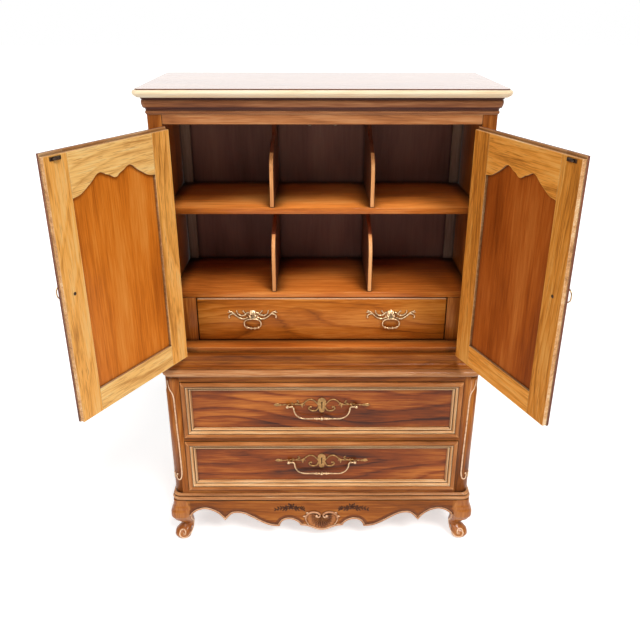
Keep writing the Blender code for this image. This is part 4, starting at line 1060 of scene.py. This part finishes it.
def make_foot(side, sign):
    """A cabriole foot, and a scroll that runs down its front and curls up on its toe."""
    node = f"front_foot_{side}"
    rings = []
    for step in range(FOOT_STEPS + 1):
        z = FOOT_SHAPE[-1][0] * (step / FOOT_STEPS)
        shift, half, power = foot_section(z)
        ring = []
        for turn in range(FOOT_SIDES):
            angle = 2 * math.pi * turn / FOOT_SIDES
            x = half * signed_power(math.cos(angle), 2 / power)
            y = half * signed_power(math.sin(angle), 2 / power)
            ring.append(Vector((sign * (FOOT_X + shift + x), FOOT_Y - shift + y, z / 1000)))
        rings.append(ring)
    settle(f"{node}_finish", solid(rings), FOOT_WOOD, node, replaces=True, smooth=60)

    def on_foot(x, z):
        """The place on the foot's front, and the outward direction there."""
        shift, half, power = foot_section(1000 * z)
        off = x - FOOT_X - shift
        across = min(abs(off) / half, 0.97)
        depth = (1 - across ** power) ** (1 / power)
        out = Vector((sign * math.copysign(across ** (power - 1), off), -depth ** (power - 1), 0))
        return Vector((sign * x, FOOT_Y - shift - half * depth, z)), out.normalized()

    knots = [(455.5, 108), (459, 99), (460, 85), (458.5, 70), (457.2, 56), (458.5, 42), (462.5, 28),
             (470, 16.5), (480, 10.8), (492, 11.2), (501, 18), (503, 28), (497, 36.5), (488, 37), (483, 30),
             (485, 23.5), (490, 24)]
    spots, outs = map(list, zip(*[on_foot(x, z) for x, z in mm(through(knots, 5))]))
    shape = bmesh.new()
    sizes = taper(len(spots), 0.003, 0.9, 0.7)
    sweep(shape, spots, sizes, [size * 0.9 for size in sizes], normal=outs)
    ball(shape, on_foot(0.488, 0.0265)[0], 0.005)
    settle(f"foot_scroll_{side}", shape, BEAD_WOOD, node, smooth=60)


# Brass pulls. In millimetres from a pull's centre, a scroll is (knots, size, thinness at its tip, bead) and
# a leaf is (root, angle, length, width, rise).
INNER_PIVOT_Y = 0.0635
INNER_PIVOT_Z = 0.8167
BAIL_PIVOT_Y = -0.0272
PLATE_GAP = 0.0008
INNER_SCROLLS = (
    ([(12, 20), (19, 18), (23.5, 13), (31, 9.3), (41.1, 10.7), (48.4, 17.9), (50.6, 25)], 2.1, 0.5, 2.7),
    ([(21.5, 14), (25.4, 19.3), (30.2, 25)], 1.7, 0.5, 2.7),
    ([(12, 4), (20, 0.5), (29, -2.8), (41.6, 0.7), (52.7, 9.3), (61.9, 17.9), (68.5, 22.2), (74.7, 25)],
     2.4, 0.5, 2.2),
    ([(60, 16), (66, 15), (72, 12.5), (76.5, 8), (75.5, 2.2)], 2, 0.8, 3.1),
    ([(68.5, 22.2), (74.5, 20.5), (80, 20)], 1.4, 0.5, 0))
PLATE_SCROLLS = (
    ([(12, 2), (17.5, 8.5), (25.7, 17.2), (37.4, 21), (49.5, 16.6), (59.7, 7), (69.8, 2.1), (84.8, 2),
      (96, 1), (104, 0)], 1.9, 0.6, 0),
    ([(11, -7), (14, -15), (19.5, -20.5), (27, -22.2), (36.1, -20), (42.5, -13.5), (40.5, -7.5), (35, -8)],
     2.3, 0.8, 3.2),
    ([(59, 7.5), (64, 4), (66, -2), (63.7, -11.1)], 2.2, 0.3, 0),
    ([(87.3, 3), (81, 6.4), (75.5, 10.8), (79.6, 15.7)], 1.8, 0.5, 2.8),
    ([(109, 0), (118, 1.2), (130, 0.2), (144, 0)], 1.1, 0.5, 0))
PLATE_LEAVES = (
    ((61, 3), -70, 12, 2.2, 1.4), ((58, 6), -100, 10, 1.8, 1.4), ((93, 1), 50, 10, 2.2, 1.4),
    ((96, -1), -45, 8.5, 2, 1.2), ((139, 0), 0, 19, 6.2, 2.4), ((133, 0), 35, 8.5, 1.6, 1.2),
    ((133, 0), -35, 8.5, 1.6, 1.2))
CARTOUCHE = [(0, -29), (6, -26.2), (9.5, -20), (10.5, -12), (12.5, -3), (14.2, 6), (13, 16), (8.5, 24),
             (0, 28.3)]


def lug(shape, spot, face, radius, half_width):
    """Two posts side by side, from the wall to round eyes on the pivot line."""
    for shift in (-half_width, half_width):
        path = [Vector((spot.x + shift, spot.y + t * (face - spot.y), spot.z)) for t in (0, 0.4, 0.8, 1)]
        sweep(shape, path, [radius * share for share in (0.9, 0.6, 0.7, 1.3)], sides=10,
              normal=Vector((0, 0, 1)))


def make_inner_pull(side):
    """A fluted shell with scrolled wings, and its ring."""
    node = f"inner_pull_plate_{side}"
    middle = sum(corner.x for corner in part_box(node)) / 2
    pivot = Vector((middle, INNER_PIVOT_Y, INNER_PIVOT_Z))
    face = low("inner_drawer_front").y - PLATE_GAP
    root = Vector((middle, face, pivot.z + 0.001))

    def spot(reach, angle, groove):
        rise = 0.0105 * math.sin(math.pi * min(1, 0.35 + 0.65 * reach)) * (0.7 + 0.3 * groove)
        up = 0.0262 * reach * max(math.sin(angle), -0.25)
        return root + Vector((0.019 * reach * math.cos(angle), -rise, up))

    shape = bmesh.new()
    for sign in SIDES.values():
        for row in INNER_SCROLLS:
            scroll(shape, Vector((middle, face, pivot.z)), sign, *row)
    fan(shape, spot, rows=7, ribs=7, parts=5, first=205, last=-25)
    ball(shape, root + Vector((0, -0.003, 0.001)), 0.0046)
    lug(shape, pivot, face, 0.003, 0.0046)
    settle(f"{node}_finish", shape, BRASS, node, "antique_brass", True, smooth=50)
    make_inner_ring(f"inner_ring_{side}", pivot)


def make_inner_ring(node, pivot):
    """An oval ring with four beads on its lowest stretch."""
    bottom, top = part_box(node)
    half, drop = (top.x - bottom.x) / 2 - 0.002, top.z - bottom.z - 0.007
    path = []
    for step in range(48):
        angle = 2 * math.pi * (step + 0.5) / 48
        across, up = signed_power(math.cos(angle), 0.8), signed_power(math.sin(angle), 0.8)
        path.append(pivot + Vector((half * across, 0, drop / 2 * (up - 1))))
    shape = bmesh.new()
    sweep(shape, path, 0.0023, sides=10, closed=True)
    for bead in range(4):
        x = 0.012 * (bead - 1.5)
        lift = drop / 2 * (1 - (1 - abs(x / half) ** 2.5) ** 0.4)
        ball(shape, pivot + Vector((x, 0, lift - drop)), 0.0044)
    settle(f"{node}_finish", shape, BRASS, node, "antique_brass", True, smooth=60)


def make_lower_pull(level):
    """A keyhole plate with scrolls, sprigs and arrow tips, and its bail."""
    node = f"pull_plate_{level}"
    pivot = Vector((0, BAIL_PIVOT_Y, high(f"bail_{level}").z - 0.0022))
    face = high(f"drawer_front_{level}").y - FRONT_THICK - PLATE_GAP
    centre = Vector((0, face, pivot.z))
    right = through(CARTOUCHE, 5)
    rim = right + [Vector((-x, z)) for x, z in right[-2:0:-1]]
    rings = []
    for share, lift in ((1, -0.4), (1, 1.4), (0.9, 2.4), (0.8, 2), (0.7, 2.8), (0.45, 3.6)):
        rings.append([centre + Vector((x * share, -lift, z * share)) / 1000 for x, z in rim])
    shape = solid(rings)
    for sign in SIDES.values():
        for row in PLATE_SCROLLS:
            scroll(shape, centre, sign, *row)
        for row in PLATE_LEAVES:
            petal(shape, centre, sign, *row)
        ball(shape, drawn(centre, sign, [(124, 0.6)])[0], 0.0028)
        lug(shape, pivot + Vector((sign * 0.104, 0, 0)), face, 0.0034, 0.0024)
    settle(f"{node}_finish", shape, PLATE_BRASS, node, "antique_brass", True, smooth=50)

    # The keyhole is a dark sheet on the plate: painted shade in the opening
    keyhole = arc((0, pivot.z + 0.011), (0.0026, 0.0026), -50, 230, 14)
    keyhole += [(-0.0013, pivot.z - 0.012), (0.0013, pivot.z - 0.012)]
    settle(f"keyhole_{level}", prism(keyhole, (face - 0.0042, face - 0.003)), KEYHOLE_SHADE, node, "antique_brass")
    make_bail(f"bail_{level}", pivot)


def make_bail(node, pivot):
    """A drop handle: pins with ball ends, tight turns and a long low bow with three beads."""
    turn, pin, bow, drop = 7, 99, 36, 45
    half = [(111.5, 0), (103, 0)] + arc((pin, -turn), (-turn, turn), 90, 0, 8)
    half += arc((pin - turn - bow, -turn), (bow, turn - drop), 0, 90, 14)[1:]
    half += [(x, -drop) for x in (40, 26, 18, 6)]
    shape = bmesh.new()
    sweep(shape, drawn(pivot, 1, half + flipped(half, -1)[::-1]), 0.0023, sides=10)
    beads = [(-112.8, 0, 5.6, 12), (112.8, 0, 5.6, 12)]
    for x, radius in ((-16.5, 4.6), (0, 6.2), (16.5, 4.6)):
        beads += [(x, -drop, radius, 12)] + [(x + way * (radius + 0.7), -drop, 3.2, 8) for way in (-1, 1)]
    for x, z, radius, segments in beads:
        ball(shape, drawn(pivot, 1, [(x, z)])[0], radius / 1000, segments)
    settle(f"{node}_finish", shape, BRASS, node, "antique_brass", True, smooth=60)


# Stage, light and camera
WALL_LIGHT = 0.26
BACK_WALL_LIGHT = 1.15
FLOOR_GLOW = 0.55


def make_stage():
    """A white floor that glows a little where it is seen, but lights nothing."""
    graph = Graph(bpy.data.materials.new("floor_paint"))
    tint = graph.noise(graph.add("TexCoord", {}, 3), 3)
    colour = graph.ramp(tint, ((0.3, srgb(240, 240, 240)), (0.7, srgb(246, 246, 246))))
    rays = graph.add("LightPath", {}).node.outputs
    mirrored = graph.math("MAXIMUM", rays["Is Glossy Ray"], rays["Is Transmission Ray"])
    glow = graph.math("MULTIPLY", graph.math("MAXIMUM", rays["Is Camera Ray"], mirrored), FLOOR_GLOW)
    shape = bmesh.new()
    bmesh.ops.create_grid(shape, x_segments=4, y_segments=4, size=30)
    mesh = to_mesh("floor", shape)
    mesh.materials.append(graph.surface(colour, 0.9, tint, 0.05, 0.0005, Emission_Strength=glow,
                                        Emission_Color=(1, 1, 1, 1)))
    placed("floor", mesh)


def make_world():
    """White behind the object for the camera, dim studio walls for light, and a bright wall at the back
    that glossy wood mirrors."""
    world = bpy.data.worlds.new("studio")
    bpy.context.scene.world = world
    graph = Graph(world)
    place = graph.add("SeparateXYZ", {0: graph.add("TexCoord", {})}).node.outputs
    mirrored = graph.span(place["Y"], 0.25, 0.85, WALL_LIGHT, BACK_WALL_LIGHT)
    rays = graph.add("LightPath", {}).node.outputs
    strength = WALL_LIGHT
    for ray, value in (("Is Glossy Ray", mirrored), ("Is Transmission Ray", 1), ("Is Camera Ray", 1)):
        strength = graph.add("Mix", {0: rays[ray], 2: strength, 3: value})
    background = world.node_tree.nodes["Background"]
    graph.feed(background.inputs["Color"], (1, 1, 1, 1))
    graph.feed(background.inputs["Strength"], strength)


def softlight(name, place, spread, strength):
    """A distant soft light that shines from a direction, as wide across the sky as spread in degrees."""
    lamp = bpy.data.lights.new(name, "SUN")
    lamp.energy = strength
    lamp.angle = math.radians(spread)
    lamp.color = (1, 0.98, 0.95)
    placed(name, lamp).rotation_euler = (-Vector(place)).to_track_quat("-Z", "Y").to_euler()


def make_light():
    make_world()
    softlight("key_light", (1.2, -1.9, 3), 22, 2.1)
    softlight("fill_light", (-2.1, -2.3, 2.5), 40, 1.05)


def make_camera():
    lens = bpy.data.cameras.new("camera")
    lens.sensor_width = SENSOR_WIDTH
    lens.lens = CAMERA_LENS
    matrix = Matrix.Translation(CAMERA_PLACE)
    for angle, axis in ((CAMERA_YAW, "Z"), (CAMERA_TILT, "X"), (CAMERA_ROLL, "Z")):
        matrix = matrix @ Matrix.Rotation(angle, 4, axis)
    camera = placed("camera", lens)
    camera.matrix_world = matrix
    bpy.context.scene.camera = camera


make_top()
make_cornice()
make_waist()
make_base_board()
make_case()
for side, sign in SIDES.items():
    make_door(side, sign)
make_drawer_front("middle")
make_drawer_front("bottom")
for side, sign in SIDES.items():
    make_divider("upper", side)
    make_divider("lower", side)
    make_post(side, sign)
    make_foot(side, sign)
    make_inner_pull(side)
make_cleats()
make_strikes()
make_apron()
make_lower_pull("middle")
make_lower_pull("bottom")
make_stage()
make_light()
make_camera()
bpy.context.scene.view_settings.view_transform = "Standard"
